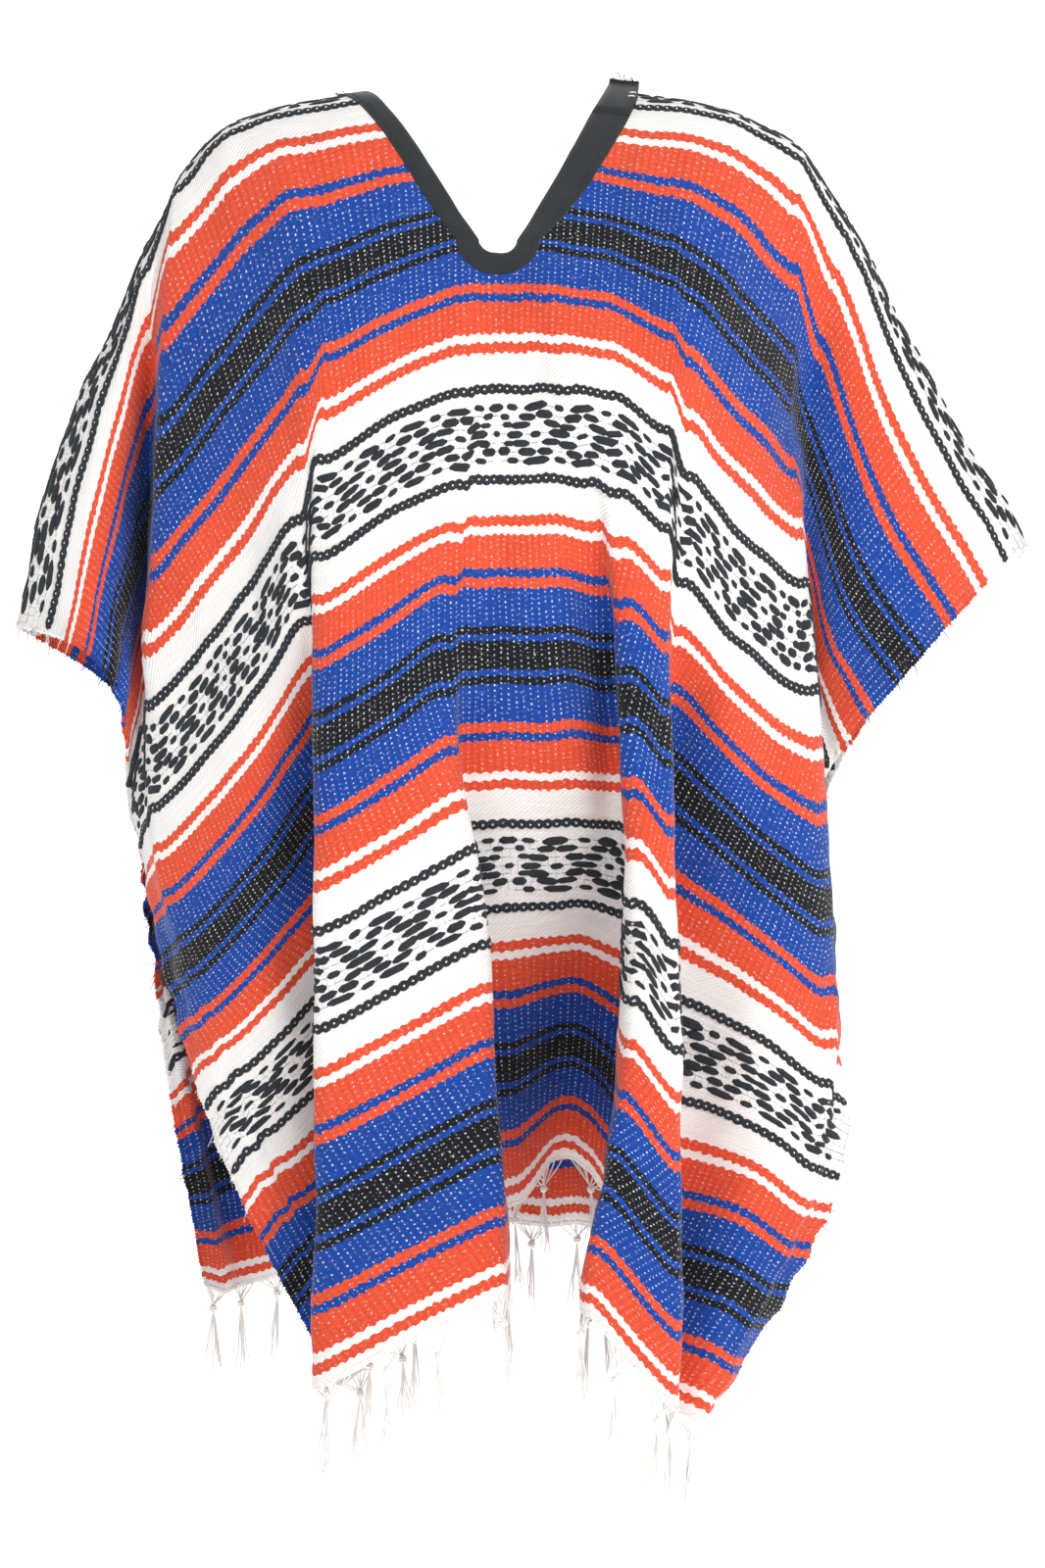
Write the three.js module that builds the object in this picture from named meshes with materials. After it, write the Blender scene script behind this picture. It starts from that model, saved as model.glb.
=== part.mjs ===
// A Mexican falsa-blanket poncho in the pose in which it is worn, hollow inside.
// One handwoven panel is folded over the shoulders. It has a taped V neck, open
// sides with raw selvages, and a knotted warp fringe along both hems.
// Millimetres, +Z up. The front faces -Y and +X is the wearer's left.
// The origin is the middle of the neck on the shoulder fold.
import * as THREE from "three";

// Cloth sizes
const HALF_WIDTH = 635; // middle of the panel to each selvage
const CLOTH = 2.6; // thickness
const SEAM_GAP = 0.3; // clearance between neighbouring pieces
const FRINGE = 75; // reach of the knotted warp ends
const HEM_GAP = 0.6; // drop from the hem to the fringe, which leaves 0.3 where the hem slants
const TAPE = 1.3; // thickness of the binding tape
const LAP = { rise: 7, forward: 2 }; // how far the loose tape end stands up and out

// Colours of the main yarns and the tape
const BLUE = "#1f4dc0";
const RED = "#f1502f";
const WHITE = "#f7f4f1";
const CHARCOAL = "#3a3d40";

// Distances down the cloth from the shoulder fold to the places where the folds are given
const LEVELS = { yoke: 176, chest: 352, waist: 528, hips: 704, hem: 1000 };

// Neck opening, measured on the flat cloth: half widths at the shoulder fold and near the
// foot, how far the arms of the V bow outwards half way, and how far down the arms and the
// foot reach. The tape has a corner at a share of its half width on each side of its foot.
const NECK = {
  left: { cutTop: 104, cutFoot: 17, cutBow: 5, tapeTop: 122, tapeFoot: 35, tapeBow: 5 },
  right: { cutTop: 92, cutFoot: 20, cutBow: 9, tapeTop: 117, tapeFoot: 40, tapeBow: 18 },
  straight: 190,
  foot: 204,
  tapeFoot: 222,
  tapeCorner: { share: 0.73, down: 212 },
};

// The shoulder fold from the neck to the selvage: [across, forward, down], and how steeply
// the front and the back leave it, in degrees below the level.
const SHOULDER = {
  left: [
    [0, 0, 0, 10, 10], [-60, 0, -2, 10, 10], [-110, 0, 0, 8, 10], [-205, 2, 24, -6, 10],
    [-248, 8, 63, -8, 5], [-294, 16, 162, 16, -15], [-346, 22, 284, 44, -25], [-380, 26, 428, 50, -28],
  ],
  right: [
    [0, 0, 0, 18, 18], [60, 0, -2, 18, 18], [110, 0, 0, 14, 18], [205, 0, 22, -4, 18],
    [256, 2, 62, -4, 15], [312, 4, 160, 18, 12], [368, 4, 266, 32, 10], [428, 4, 362, 38, 8],
  ],
};

// Folds from the middle to the selvage. Columns: name, distance along the shoulder fold,
// width of the fold's rounded turn, number of facets that lead on to the next fold, then
// [across, out, down] at the yoke, chest, waist, hips and hem. "out" is away from the
// plane of the shoulder fold.
const FOLDS = {
  front: {
    left: [
      ["middle", 0, 0, 1,
        [0, 85, 118], [0, 137, 286], [4, 138, 455], [10, 70, 618], [20, -70, 900]],
      ["recess", 15, 12, 1,
        [-14, 85, 119], [-12, 138, 287], [-22, 138, 457], [-25, 76, 623], [0, -40, 905]],
      ["pleat edge", 45, 12, 1,
        [-34, 86, 121], [-24, 139, 291], [-40, 141, 464], [-15, 138, 642], [5, 136, 948]],
      ["pleat face", 92, 0, 2,
        [-75, 98, 137], [-74, 140, 308], [-80, 148, 490], [-80, 150, 677], [-68, 150, 980]],
      ["pleat ridge", 150, 14, 2,
        [-130, 108, 162], [-135, 133, 344], [-136, 138, 522], [-136, 138, 706], [-138, 138, 1016]],
      ["pleat root", 175, 12, 2,
        [-147, 108, 171], [-150, 122, 394], [-112, 72, 540], [-52, 32, 674], [-62, 58, 968]],
      ["side panel", 215, 0, 2,
        [-192, 95, 218], [-190, 92, 446], [-184, 76, 632], [-166, 65, 784], [-84, 70, 994]],
      ["body ridge", 262, 22, 2,
        [-266, 67, 300], [-275, 40, 536], [-244, 50, 692], [-192, 62, 806], [-98, 76, 1006]],
      ["armpit", 330, 10, 2,
        [-280, 10, 346], [-281, 22, 550], [-252, 37, 700], [-204, 60, 818], [-106, 80, 1014]],
      ["sleeve face", 480, 0, 2,
        [-300, 43, 424], [-288, 6, 566], [-258, 21, 702], [-213, 55, 828], [-114, 85, 1020]],
      ["selvage", 635, 0, 0,
        [-307, 50, 471], [-295, -8, 582], [-265, 7, 710], [-220, 50, 839], [-122, 90, 1026]],
    ],
    right: [
      ["middle", 0, 0, 1,
        [0, 85, 118], [0, 137, 286], [4, 138, 455], [10, 70, 618], [20, -70, 900]],
      ["recess", 15, 20, 2,
        [14, 85, 119], [33, 138, 286], [44, 138, 456], [55, 62, 618], [55, -92, 868]],
      ["pleat root", 38, 12, 2,
        [30, 86, 120], [66, 143, 289], [88, 116, 462], [98, 52, 622], [118, -72, 935]],
      ["pleat edge", 72, 10, 1,
        [81, 89, 128], [92, 139, 295], [102, 143, 490], [107, 140, 684], [68, 146, 958]],
      ["pleat ridge", 130, 10, 2,
        [136, 108, 150], [130, 130, 320], [132, 138, 516], [137, 137, 718], [138, 138, 1031]],
      ["pleat back", 152, 10, 2,
        [148, 108, 159], [146, 121, 360], [130, 74, 552], [128, 42, 764], [134, 98, 1040]],
      ["side panel", 200, 0, 2,
        [186, 96, 192], [186, 92, 402], [199, 72, 608], [205, 60, 790], [154, 102, 1046]],
      ["body ridge", 255, 22, 2,
        [233, 54, 236], [244, 47, 438], [261, 40, 650], [258, 45, 827], [160, 100, 1050]],
      ["armpit", 330, 10, 2,
        [246, 32, 288], [251, 12, 500], [268, 13, 680], [267, 32, 834], [163, 97, 1051]],
      ["sleeve face", 480, 0, 2,
        [285, 42, 402], [256, -8, 538], [269, -6, 690], [274, 25, 838], [164, 93, 1052]],
      ["selvage", 635, 0, 0,
        [328, 40, 462], [259, -18, 565], [266, -15, 700], [279, 20, 841], [166, 90, 1053]],
    ],
  },
  back: {
    left: [
      ["middle", 0, 0, 1,
        [0, 95, 130], [0, 115, 300], [0, 125, 470], [0, 130, 640], [0, 138, 922]],
      ["flute", 60, 0, 2,
        [-60, 98, 135], [-65, 125, 308], [-66, 140, 482], [-65, 150, 655], [-60, 170, 935]],
      ["pleat ridge", 155, 16, 2,
        [-128, 96, 152], [-135, 125, 325], [-143, 140, 499], [-150, 150, 672], [-150, 175, 955]],
      ["pleat root", 172, 14, 2,
        [-144, 85, 160], [-105, 62, 335], [-76, 60, 496], [-60, 70, 655], [-70, 90, 940]],
      ["side panel", 205, 0, 2,
        [-190, 85, 200], [-190, 92, 420], [-182, 93, 580], [-170, 95, 715], [-150, 110, 955]],
      ["body ridge", 262, 22, 2,
        [-260, 108, 300], [-276, 95, 530], [-275, 92, 654], [-260, 100, 745], [-205, 140, 975]],
      ["armpit", 330, 10, 1,
        [-272, 64, 350], [-284, 60, 548], [-281, 56, 663], [-266, 62, 755], [-225, 110, 978]],
      ["sleeve back", 480, 0, 2,
        [-297, 55, 430], [-289, 42, 568], [-281, 45, 668], [-270, 60, 762], [-236, 98, 975]],
      ["selvage", 635, 0, 0,
        [-312, 50, 480], [-293, 25, 578], [-283, 34, 670], [-274, 58, 768], [-243, 90, 972]],
    ],
    right: [
      ["middle", 0, 0, 1,
        [0, 95, 130], [0, 115, 300], [0, 125, 470], [0, 130, 640], [0, 138, 922]],
      ["flute", 45, 24, 2,
        [45, 94, 133], [50, 108, 305], [50, 114, 477], [50, 118, 648], [55, 136, 926]],
      ["pleat ridge", 148, 16, 2,
        [120, 98, 146], [125, 130, 320], [130, 153, 495], [132, 172, 668], [120, 202, 950]],
      ["pleat root", 165, 14, 2,
        [148, 85, 158], [120, 68, 335], [116, 72, 513], [128, 88, 685], [165, 122, 952]],
      ["side panel", 205, 0, 2,
        [188, 85, 195], [186, 100, 420], [187, 106, 589], [190, 115, 730], [196, 165, 958]],
      ["body ridge", 255, 20, 2,
        [235, 100, 230], [245, 112, 455], [254, 101, 642], [255, 95, 790], [222, 150, 955]],
      ["armpit", 330, 10, 1,
        [244, 64, 290], [254, 82, 500], [263, 71, 667], [262, 62, 798], [225, 110, 948]],
      ["sleeve back", 480, 0, 2,
        [292, 52, 410], [262, 66, 545], [262, 60, 682], [264, 54, 804], [214, 86, 938]],
      ["selvage", 635, 0, 0,
        [325, 45, 470], [268, 52, 565], [263, 49, 691], [266, 48, 812], [200, 72, 926]],
    ],
  },
};

// Rows of facets down the cloth. Three of them end the opening at its foot.
const ROWS = [0, 20, 45, 78, 115, 150, 176, NECK.straight, 199, NECK.foot, NECK.tapeFoot, 258, 305, 352,
  418, 488, 560, 632, 704, 778, 852, 926, 1000];
const FOOT_ROW = ROWS.indexOf(NECK.foot);
const TURN = 2; // columns of the fold tables
const FACETS = 3;
const PLACES = 4;
const CURVE_STEPS = 6;
const TURN_SHARE = 0.3; // most of the way to the next fold that half a turn takes up
const TURN_START = 0.25; // share of their width that the turns have at the yoke and above
const SETTLED = 120; // below this the folds take up the whole width of the cloth
const LEAST_DEPTH = 0.6; // limits on how far the folds are flattened or deepened
const MOST_DEPTH = 1.25;

const vec = (x, y, z) => new THREE.Vector3(x, y, z);

// A smooth path through points at the given knots. Each slope is the mean of its chords.
function smoothPath(knots, points, firstSlope) {
  const last = points.length - 1;
  const chord = (i) => points[i + 1].clone().sub(points[i]).divideScalar(knots[i + 1] - knots[i]);
  const slopes = points.map((_, i) => {
    if (i === 0) return firstSlope ?? chord(0);
    if (i === last) return chord(last - 1);
    const before = knots[i] - knots[i - 1];
    const after = knots[i + 1] - knots[i];
    const sum = chord(i - 1).multiplyScalar(after).addScaledVector(chord(i), before);
    return sum.divideScalar(before + after);
  });
  return (t) => {
    let i = 0;
    while (i < last - 1 && t > knots[i + 1]) i += 1;
    const span = knots[i + 1] - knots[i];
    const s = (t - knots[i]) / span;
    return vec(0, 0, 0)
      .addScaledVector(points[i], (1 + 2 * s) * (1 - s) ** 2)
      .addScaledVector(slopes[i], span * s * (1 - s) ** 2)
      .addScaledVector(points[i + 1], s * s * (3 - 2 * s))
      .addScaledVector(slopes[i + 1], span * s * s * (s - 1));
  };
}

// Two points for each fold that has a rounded turn, spread square to the run of the fold.
function turnPoints(points, turns, runs) {
  return points.flatMap((p, i) => {
    if (turns[i] === 0) return [p];
    const before = points[i - 1].clone().sub(p);
    const after = points[i + 1].clone().sub(p);
    const room = Math.min(before.length(), after.length()) * TURN_SHARE;
    const across = after.normalize().sub(before.normalize());
    across.addScaledVector(runs[i], -across.dot(runs[i])).normalize();
    const half = Math.min(turns[i] / 2, room);
    return [p.clone().addScaledVector(across, -half), p.clone().addScaledVector(across, half)];
  });
}

// A smooth curve through points, with its length up to each of many samples.
function smoothCurve(points) {
  const knots = [0];
  for (let i = 1; i < points.length; i += 1) {
    knots.push(knots[i - 1] + Math.sqrt(points[i].distanceTo(points[i - 1])));
  }
  const path = smoothPath(knots, points);
  const at = (place) => {
    const i = Math.min(Math.floor(place), points.length - 2);
    return path(knots[i] + (place - i) * (knots[i + 1] - knots[i]));
  };
  const samples = [{ place: 0, length: 0 }];
  let previous = at(0);
  for (let k = 1; k <= (points.length - 1) * CURVE_STEPS; k += 1) {
    const point = at(k / CURVE_STEPS);
    const length = samples[k - 1].length + point.distanceTo(previous);
    samples.push({ place: k / CURVE_STEPS, length });
    previous = point;
  }
  return { at, samples, length: samples.at(-1).length };
}

// One reading of a curve's samples from another: its place from a length, or the reverse.
function reading({ samples }, from, value, to) {
  let k = 1;
  while (k < samples.length - 1 && samples[k][from] < value) k += 1;
  const [a, b] = [samples[k - 1], samples[k]];
  return THREE.MathUtils.mapLinear(value, a[from], b[from], a[to], b[to]);
}

const placeAt = (curve, length) => reading(curve, "length", length, "place");
const lengthAt = (curve, place) => reading(curve, "place", place, "length");

// Folds made deeper or shallower about the line from the middle to the selvage.
function deepen(points, depth) {
  const last = points.length - 1;
  return points.map((p, i) => {
    const base = THREE.MathUtils.lerp(points[0].y, points[last].y, i / last);
    return vec(p.x, base + depth * (p.y - base), p.z);
  });
}

// The depth at which the section is as long as the cloth is wide.
function fittingDepth(points, turns, runs) {
  let low = LEAST_DEPTH;
  let high = MOST_DEPTH;
  for (let step = 0; step < 12; step += 1) {
    const middle = (low + high) / 2;
    const { length } = smoothCurve(turnPoints(deepen(points, middle), turns, runs));
    if (length < HALF_WIDTH) low = middle;
    else high = middle;
  }
  return (low + high) / 2;
}

// Turns points between the world, where the front is -Y, and a face, where out is +Y.
const faced = (p, face) => (face === "front" ? vec(p.x, -p.y, p.z) : p);

// A point on the shoulder fold at a share of the way from the neck to the selvage, and the
// way in which the face leaves the fold there, square to it.
function shoulderAt(face, side, share) {
  const rows = SHOULDER[side];
  const curve = smoothCurve(rows.map(([x, forward, down]) => vec(x, -forward, -down)));
  const within = (place) => THREE.MathUtils.clamp(place, 0, rows.length - 1);
  const place = within(placeAt(curve, share * curve.length));
  const i = Math.min(Math.floor(place), rows.length - 2);
  const column = face === "front" ? 3 : 4;
  const dip = THREE.MathUtils.degToRad(
    THREE.MathUtils.lerp(rows[i][column], rows[i + 1][column], place - i),
  );
  const run = curve.at(within(place + 0.01)).sub(curve.at(within(place - 0.01))).normalize();
  const inward = (side === "right" ? vec(run.z, 0, -run.x) : vec(-run.z, 0, run.x)).normalize();
  const slope = vec(0, Math.cos(dip), 0).addScaledVector(inward, Math.sin(dip));
  return { point: faced(curve.at(place), face), slope };
}

// The paths that the folds of one side follow from the shoulder fold to the hem.
function foldPaths(face, side) {
  const knots = [0, ...Object.values(LEVELS)];
  return FOLDS[face][side].map((row) => {
    const { point, slope } = shoulderAt(face, side, row[1] / HALF_WIDTH);
    const below = row.slice(PLACES).map(([x, out, down]) => vec(x, out, -down));
    return smoothPath(knots, [point, ...below], slope);
  });
}

// A function that gives the section of one side at a distance down the cloth.
function sectionsOf(face, side) {
  const paths = foldPaths(face, side);
  const widths = FOLDS[face][side].map((row) => row[TURN]);
  const made = new Map();
  return (down) => {
    if (!made.has(down)) {
      const points = paths.map((path) => path(down));
      const runs = paths.map((path) => path(down + 1).sub(path(down - 1)).normalize());
      const started = THREE.MathUtils.smoothstep(down, LEVELS.yoke, LEVELS.waist);
      const turns = widths.map((width) => width * THREE.MathUtils.lerp(TURN_START, 1, started));
      const settled = THREE.MathUtils.smoothstep(down, 0, SETTLED);
      const depth = THREE.MathUtils.lerp(1, fittingDepth(points, turns, runs), settled);
      made.set(down, smoothCurve(turnPoints(deepen(points, depth), turns, runs)));
    }
    return made.get(down);
  };
}

// Half widths of the opening and of the tape's outer edge at a distance down the cloth.
function neckAt(side, down) {
  const { cutTop, cutFoot, cutBow, tapeTop, tapeFoot, tapeBow } = NECK[side];
  const share = Math.min(1, down / NECK.straight);
  const half = 4 * share * (1 - share);
  const past = Math.max(0, down - NECK.straight) / (NECK.foot - NECK.straight);
  const round = Math.sqrt(Math.max(0, 1 - past * past));
  return {
    cut: round * (THREE.MathUtils.lerp(cutTop, cutFoot, share) + cutBow * half),
    tape: THREE.MathUtils.lerp(tapeTop, tapeFoot, share) + tapeBow * half,
  };
}

// Where the facet columns of one side stand on its sections. A turn takes one facet.
function columnsOf(face, side) {
  const columns = [];
  let place = 0;
  for (const row of FOLDS[face][side]) {
    columns.push(place);
    if (row[TURN] > 0) {
      place += 1;
      columns.push(place);
    }
    for (let k = 1; k < row[FACETS]; k += 1) columns.push(place + k / row[FACETS]);
    place += 1;
  }
  return columns;
}

// The column on the near side of the pleat that the neck doesn't reach.
function ridgeColumnOf(face, side) {
  const rows = FOLDS[face][side];
  const nearer = rows.slice(0, rows.findIndex(([name]) => name === "pleat ridge"));
  return nearer.reduce((count, row) => count + row[FACETS] + (row[TURN] > 0 ? 1 : 0), 0);
}

// One side of a face as rows of points from the neck or middle to the selvage.
function sideGrid(face, side) {
  const section = sectionsOf(face, side);
  const columns = columnsOf(face, side);
  const ridgeColumn = ridgeColumnOf(face, side);
  const ridge = columns[ridgeColumn];
  return ROWS.map((down, row) => {
    const here = section(down);
    if (row > FOOT_ROW) return columns.map((place) => here.at(place));
    const { cut, tape } = neckAt(side, down);
    const scale = here.length / HALF_WIDTH;
    if (row === 0) {
      const reach = columns.map((place) => lengthAt(here, place));
      [reach[0], reach[1]] = [cut * scale, tape * scale];
      const [far, near] = [reach[ridgeColumn], lengthAt(here, columns[1])];
      for (let k = 2; k < ridgeColumn; k += 1) {
        reach[k] = THREE.MathUtils.mapLinear(reach[k], near, far, tape * scale, far);
      }
      return reach.map((length) => shoulderAt(face, side, length / here.length).point);
    }
    const far = lengthAt(here, ridge);
    const near = lengthAt(here, columns[1]);
    return columns.map((place, k) => {
      if (k >= ridgeColumn) return here.at(place);
      if (k === 0) return here.at(placeAt(here, cut * scale));
      if (k === 1 && row === FOOT_ROW) {
        const corner = section(NECK.tapeCorner.down);
        const across = (NECK.tapeCorner.share * tape * corner.length) / HALF_WIDTH;
        return corner.at(placeAt(corner, across));
      }
      const share = (lengthAt(here, place) - near) / (far - near);
      return here.at(placeAt(here, THREE.MathUtils.lerp(tape * scale, far, share)));
    });
  });
}

// Points and triangles of one face, both sides, joined below the neck. Front points are
// turned to -Y. The row on the shoulder fold stands back by half of the seam gap.
function faceSurface(face) {
  const toWorld = face === "front" ? -1 : 1;
  const points = [];
  const triangles = [];
  const index = {};
  for (const side of ["left", "right"]) {
    const rows = sideGrid(face, side);
    index[side] = rows.map((row, j) =>
      row.map((p, k) => {
        if (side === "right" && k === 0 && j >= FOOT_ROW) return index.left[j][0];
        points.push(vec(p.x, toWorld * (p.y + (j === 0 ? SEAM_GAP / 2 : 0)), p.z));
        return points.length - 1;
      }),
    );
    const turned = (side === "left") === (face === "front");
    for (let j = 0; j + 1 < rows.length; j += 1) {
      for (let k = 0; k + 1 < rows[j].length; k += 1) {
        const [a, b] = [index[side][j][k], index[side][j][k + 1]];
        const [d, c] = [index[side][j + 1][k], index[side][j + 1][k + 1]];
        triangles.push(turned ? [a, b, d] : [a, d, b], turned ? [b, c, d] : [b, d, c]);
      }
    }
  }
  const normals = surfaceNormals(points, triangles);
  for (const side of ["left", "right"]) {
    for (const i of index[side][0]) normals[i].setY(0).normalize();
  }
  return { points, triangles, normals, index, facing: toWorld };
}

// The way the surface faces at each point: the mean of its facets, weighed by their angles.
function surfaceNormals(points, triangles) {
  const normals = points.map(() => vec(0, 0, 0));
  for (const corners of triangles) {
    corners.forEach((i, k) => {
      const along = points[corners[(k + 1) % 3]].clone().sub(points[i]);
      const across = points[corners[(k + 2) % 3]].clone().sub(points[i]);
      const angle = along.angleTo(across);
      normals[i].addScaledVector(along.cross(across).normalize(), angle);
    });
  }
  return normals.map((n) => n.normalize());
}

// A closed wall of even thickness about a surface.
function wall({ points, triangles, normals }, thickness) {
  const count = points.length;
  const outer = points.map((p, i) => p.clone().addScaledVector(normals[i], thickness / 2));
  const inner = points.map((p, i) => p.clone().addScaledVector(normals[i], -thickness / 2));
  const faces = [];
  const edges = new Map();
  for (const [a, b, c] of triangles) {
    faces.push([a, b, c], [a + count, c + count, b + count]);
    for (const [from, to] of [[a, b], [b, c], [c, a]]) edges.set(`${from},${to}`, [from, to]);
  }
  for (const [from, to] of edges.values()) {
    if (edges.has(`${to},${from}`)) continue;
    const [first, second] = [outer[to].distanceTo(inner[from]), outer[from].distanceTo(inner[to])];
    if (first < second) faces.push([to, from, from + count], [to, from + count, to + count]);
    else faces.push([to, from, to + count], [from, from + count, to + count]);
  }
  return { points: [...outer, ...inner], triangles: faces };
}

// A band of equal sections. Sections that share a corner leave no empty facet. "leaning"
// says which way a facet's diagonal runs, so that a band keeps the facets of the cloth.
function band(sections, closed, leaning = () => true) {
  const size = sections[0].length;
  const points = [];
  const seen = new Map();
  const ids = sections.map((section) =>
    section.map((p) => {
      const key = p.toArray().map((value) => value.toFixed(4)).join();
      if (!seen.has(key)) {
        seen.set(key, points.length);
        points.push(p);
      }
      return seen.get(key);
    }),
  );
  const triangles = [];
  const add = (a, b, c) => {
    if (a !== b && b !== c && c !== a) triangles.push([a, b, c]);
  };
  const count = closed ? sections.length : sections.length - 1;
  for (let s = 0; s < count; s += 1) {
    const [here, next] = [ids[s], ids[(s + 1) % sections.length]];
    for (let k = 0; k < size; k += 1) {
      const m = (k + 1) % size;
      if (leaning(s, k)) {
        add(here[k], here[m], next[k]);
        add(here[m], next[m], next[k]);
      } else {
        add(here[k], here[m], next[m]);
        add(here[k], next[m], next[k]);
      }
    }
  }
  return { points, triangles };
}

// Where the tape crosses the neck edge, in order round the opening: the cut edge and the
// tape's outer edge on the cloth, with the way that the cloth faces at each.
function neckStations(front, back) {
  const station = (face, side, row, column = 1, below = 0) => {
    const cut = face.index[side][row][0];
    const tape = face.index[side][row + below][column];
    return {
      edge: face.points[cut],
      edgeNormal: face.normals[cut],
      tape: face.points[tape],
      tapeNormal: face.normals[tape],
      down: ROWS[row],
    };
  };
  const shoulder = (side) => {
    const [a, b] = [station(front, side, 0), station(back, side, 0)];
    const mean = (name) => a[name].clone().lerp(b[name], 0.5);
    return {
      edge: mean("edge"),
      edgeNormal: mean("edgeNormal").normalize(),
      tape: mean("tape"),
      tapeNormal: mean("tapeNormal").normalize(),
      down: 0,
    };
  };
  const rows = ROWS.slice(1, FOOT_ROW).map((_, i) => i + 1);
  const down = (face, side) => rows.map((row) => station(face, side, row));
  const foot = (face, from, to) => [
    station(face, from, FOOT_ROW),
    station(face, from, FOOT_ROW, 0, 1),
    station(face, to, FOOT_ROW),
  ];
  return [
    shoulder("left"),
    ...down(front, "left"),
    ...foot(front, "left", "right"),
    ...down(front, "right").reverse(),
    shoulder("right"),
    ...down(back, "right"),
    ...foot(back, "right", "left"),
    ...down(back, "left").reverse(),
  ];
}

// The way out of the cloth at a station, square to the cut edge.
function wayOut(stations, i) {
  const { edge, edgeNormal, tape } = stations[i];
  const other = (step) => {
    let k = i;
    do k = (k + step + stations.length) % stations.length;
    while (stations[k].edge.distanceTo(edge) < SEAM_GAP);
    return stations[k].edge;
  };
  const out = other(1).clone().sub(other(-1)).cross(edgeNormal).normalize();
  return out.dot(edge.clone().sub(tape)) > 0 ? out : out.negate();
}

const TAPE_INSIDE = CLOTH / 2 + SEAM_GAP; // from the middle of the cloth to the tape
const TAPE_OUTSIDE = TAPE_INSIDE + TAPE;

// Faces of the tape's section that start at the cut edge and end at the tape's own edge
const TAPE_CORNERS = { outerFace: 7, underFace: 3 };

// The binding: a tape folded round the cut edge, as a U-shaped section at each station.
function bindingSolid(stations) {
  const sections = stations.map(({ edge, edgeNormal, tape, tapeNormal }, i) => {
    const out = wayOut(stations, i);
    const onTape = (height) => tape.clone().addScaledVector(tapeNormal, height);
    const pastEdge = (height, reach) =>
      edge.clone().addScaledVector(edgeNormal, height).addScaledVector(out, reach);
    return [
      onTape(TAPE_OUTSIDE),
      onTape(TAPE_INSIDE),
      pastEdge(TAPE_INSIDE, SEAM_GAP),
      pastEdge(-TAPE_INSIDE, SEAM_GAP),
      onTape(-TAPE_INSIDE),
      onTape(-TAPE_OUTSIDE),
      pastEdge(-TAPE_OUTSIDE, SEAM_GAP + TAPE),
      pastEdge(TAPE_OUTSIDE, SEAM_GAP + TAPE),
    ];
  });
  const descending = (s) => stations[s].down <= stations[(s + 1) % stations.length].down;
  const fromTape = (k) => k === TAPE_CORNERS.outerFace || k === TAPE_CORNERS.underFace;
  return band(sections, true, (s, k) => descending(s) === fromTape(k));
}

// The lapped end of the tape, laid over the binding and standing up past the shoulder.
function lapSolid(front) {
  const bottom = TAPE_OUTSIDE + SEAM_GAP;
  const strip = (row, lift, facing) => {
    const [edge, tape] = front.index.right[row];
    const corner = (i, height) => {
      const base = front.points[i].clone().addScaledVector(front.normals[i], bottom);
      return base.add(lift).addScaledVector(facing ?? front.normals[i], height);
    };
    return [corner(edge, 0), corner(edge, TAPE), corner(tape, TAPE), corner(tape, 0)];
  };
  const flat = vec(0, 0, 0);
  const raised = strip(0, vec(0, -LAP.forward, LAP.rise), vec(0, -1, 0));
  return withEnds([strip(2, flat), strip(1, flat), raised]);
}

// A band with its two ends closed.
function withEnds(sections) {
  const { points, triangles } = band(sections, false);
  const size = sections[0].length;
  const last = points.length - size;
  for (let k = 1; k + 1 < size; k += 1) {
    triangles.push([0, k + 1, k], [last, last + k, last + k + 1]);
  }
  return { points, triangles };
}

// The reach of the fringe: a thin curtain that hangs straight down from the hem.
function fringeSolid(face) {
  const { left, right } = face.index;
  const hem = [...left.at(-1).slice().reverse(), ...right.at(-1).slice(1)];
  const count = hem.length;
  const points = [];
  const triangles = [];
  for (const reach of [0, FRINGE / 2, FRINGE]) {
    hem.forEach((i) => points.push(face.points[i].clone().add(vec(0, 0, -HEM_GAP - reach))));
  }
  const turned = face.facing < 0;
  for (let j = 0; j < 2; j += 1) {
    for (let k = 0; k + 1 < count; k += 1) {
      const [a, b] = [j * count + k, j * count + k + 1];
      const [d, c] = [a + count, b + count];
      triangles.push(turned ? [a, d, b] : [a, b, d], turned ? [b, d, c] : [b, c, d]);
    }
  }
  const normals = surfaceNormals(points, triangles);
  hem.forEach((i, k) => normals[k].copy(face.normals[i]));
  return wall({ points, triangles, normals }, CLOTH);
}

function mesh(name, { points, triangles }, colour, roughness) {
  const geometry = new THREE.BufferGeometry().setFromPoints(points).setIndex(triangles.flat());
  geometry.computeVertexNormals();
  const material = new THREE.MeshStandardMaterial({ color: colour, roughness, metalness: 0 });
  const made = new THREE.Mesh(geometry, material);
  made.name = name;
  return made;
}

const front = faceSurface("front");
const back = faceSurface("back");

const poncho = new THREE.Group();
poncho.name = "mexican_poncho";
poncho.add(
  mesh("cloth_front", wall(front, CLOTH), BLUE, 0.95),
  mesh("cloth_back", wall(back, CLOTH), RED, 0.95),
  mesh("neck_binding", bindingSolid(neckStations(front, back)), CHARCOAL, 0.9),
  mesh("neck_binding_lap", lapSolid(front), CHARCOAL, 0.9),
  mesh("fringe_front", fringeSolid(front), WHITE, 0.95),
  mesh("fringe_back", fringeSolid(back), WHITE, 0.95),
);

export default poncho;
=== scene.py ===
"""Looks of a Mexican falsa-blanket poncho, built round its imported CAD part.

The panel's cloth is lofted from the same fold tables as the CAD solids, in millimetres on
the flat cloth: u across the panel from its middle, v down the front from the shoulder fold
(negative down the back). Stripes, weave, ropes, floats, tape and fringe all follow (u, v).
"""
import functools
import math

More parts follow.
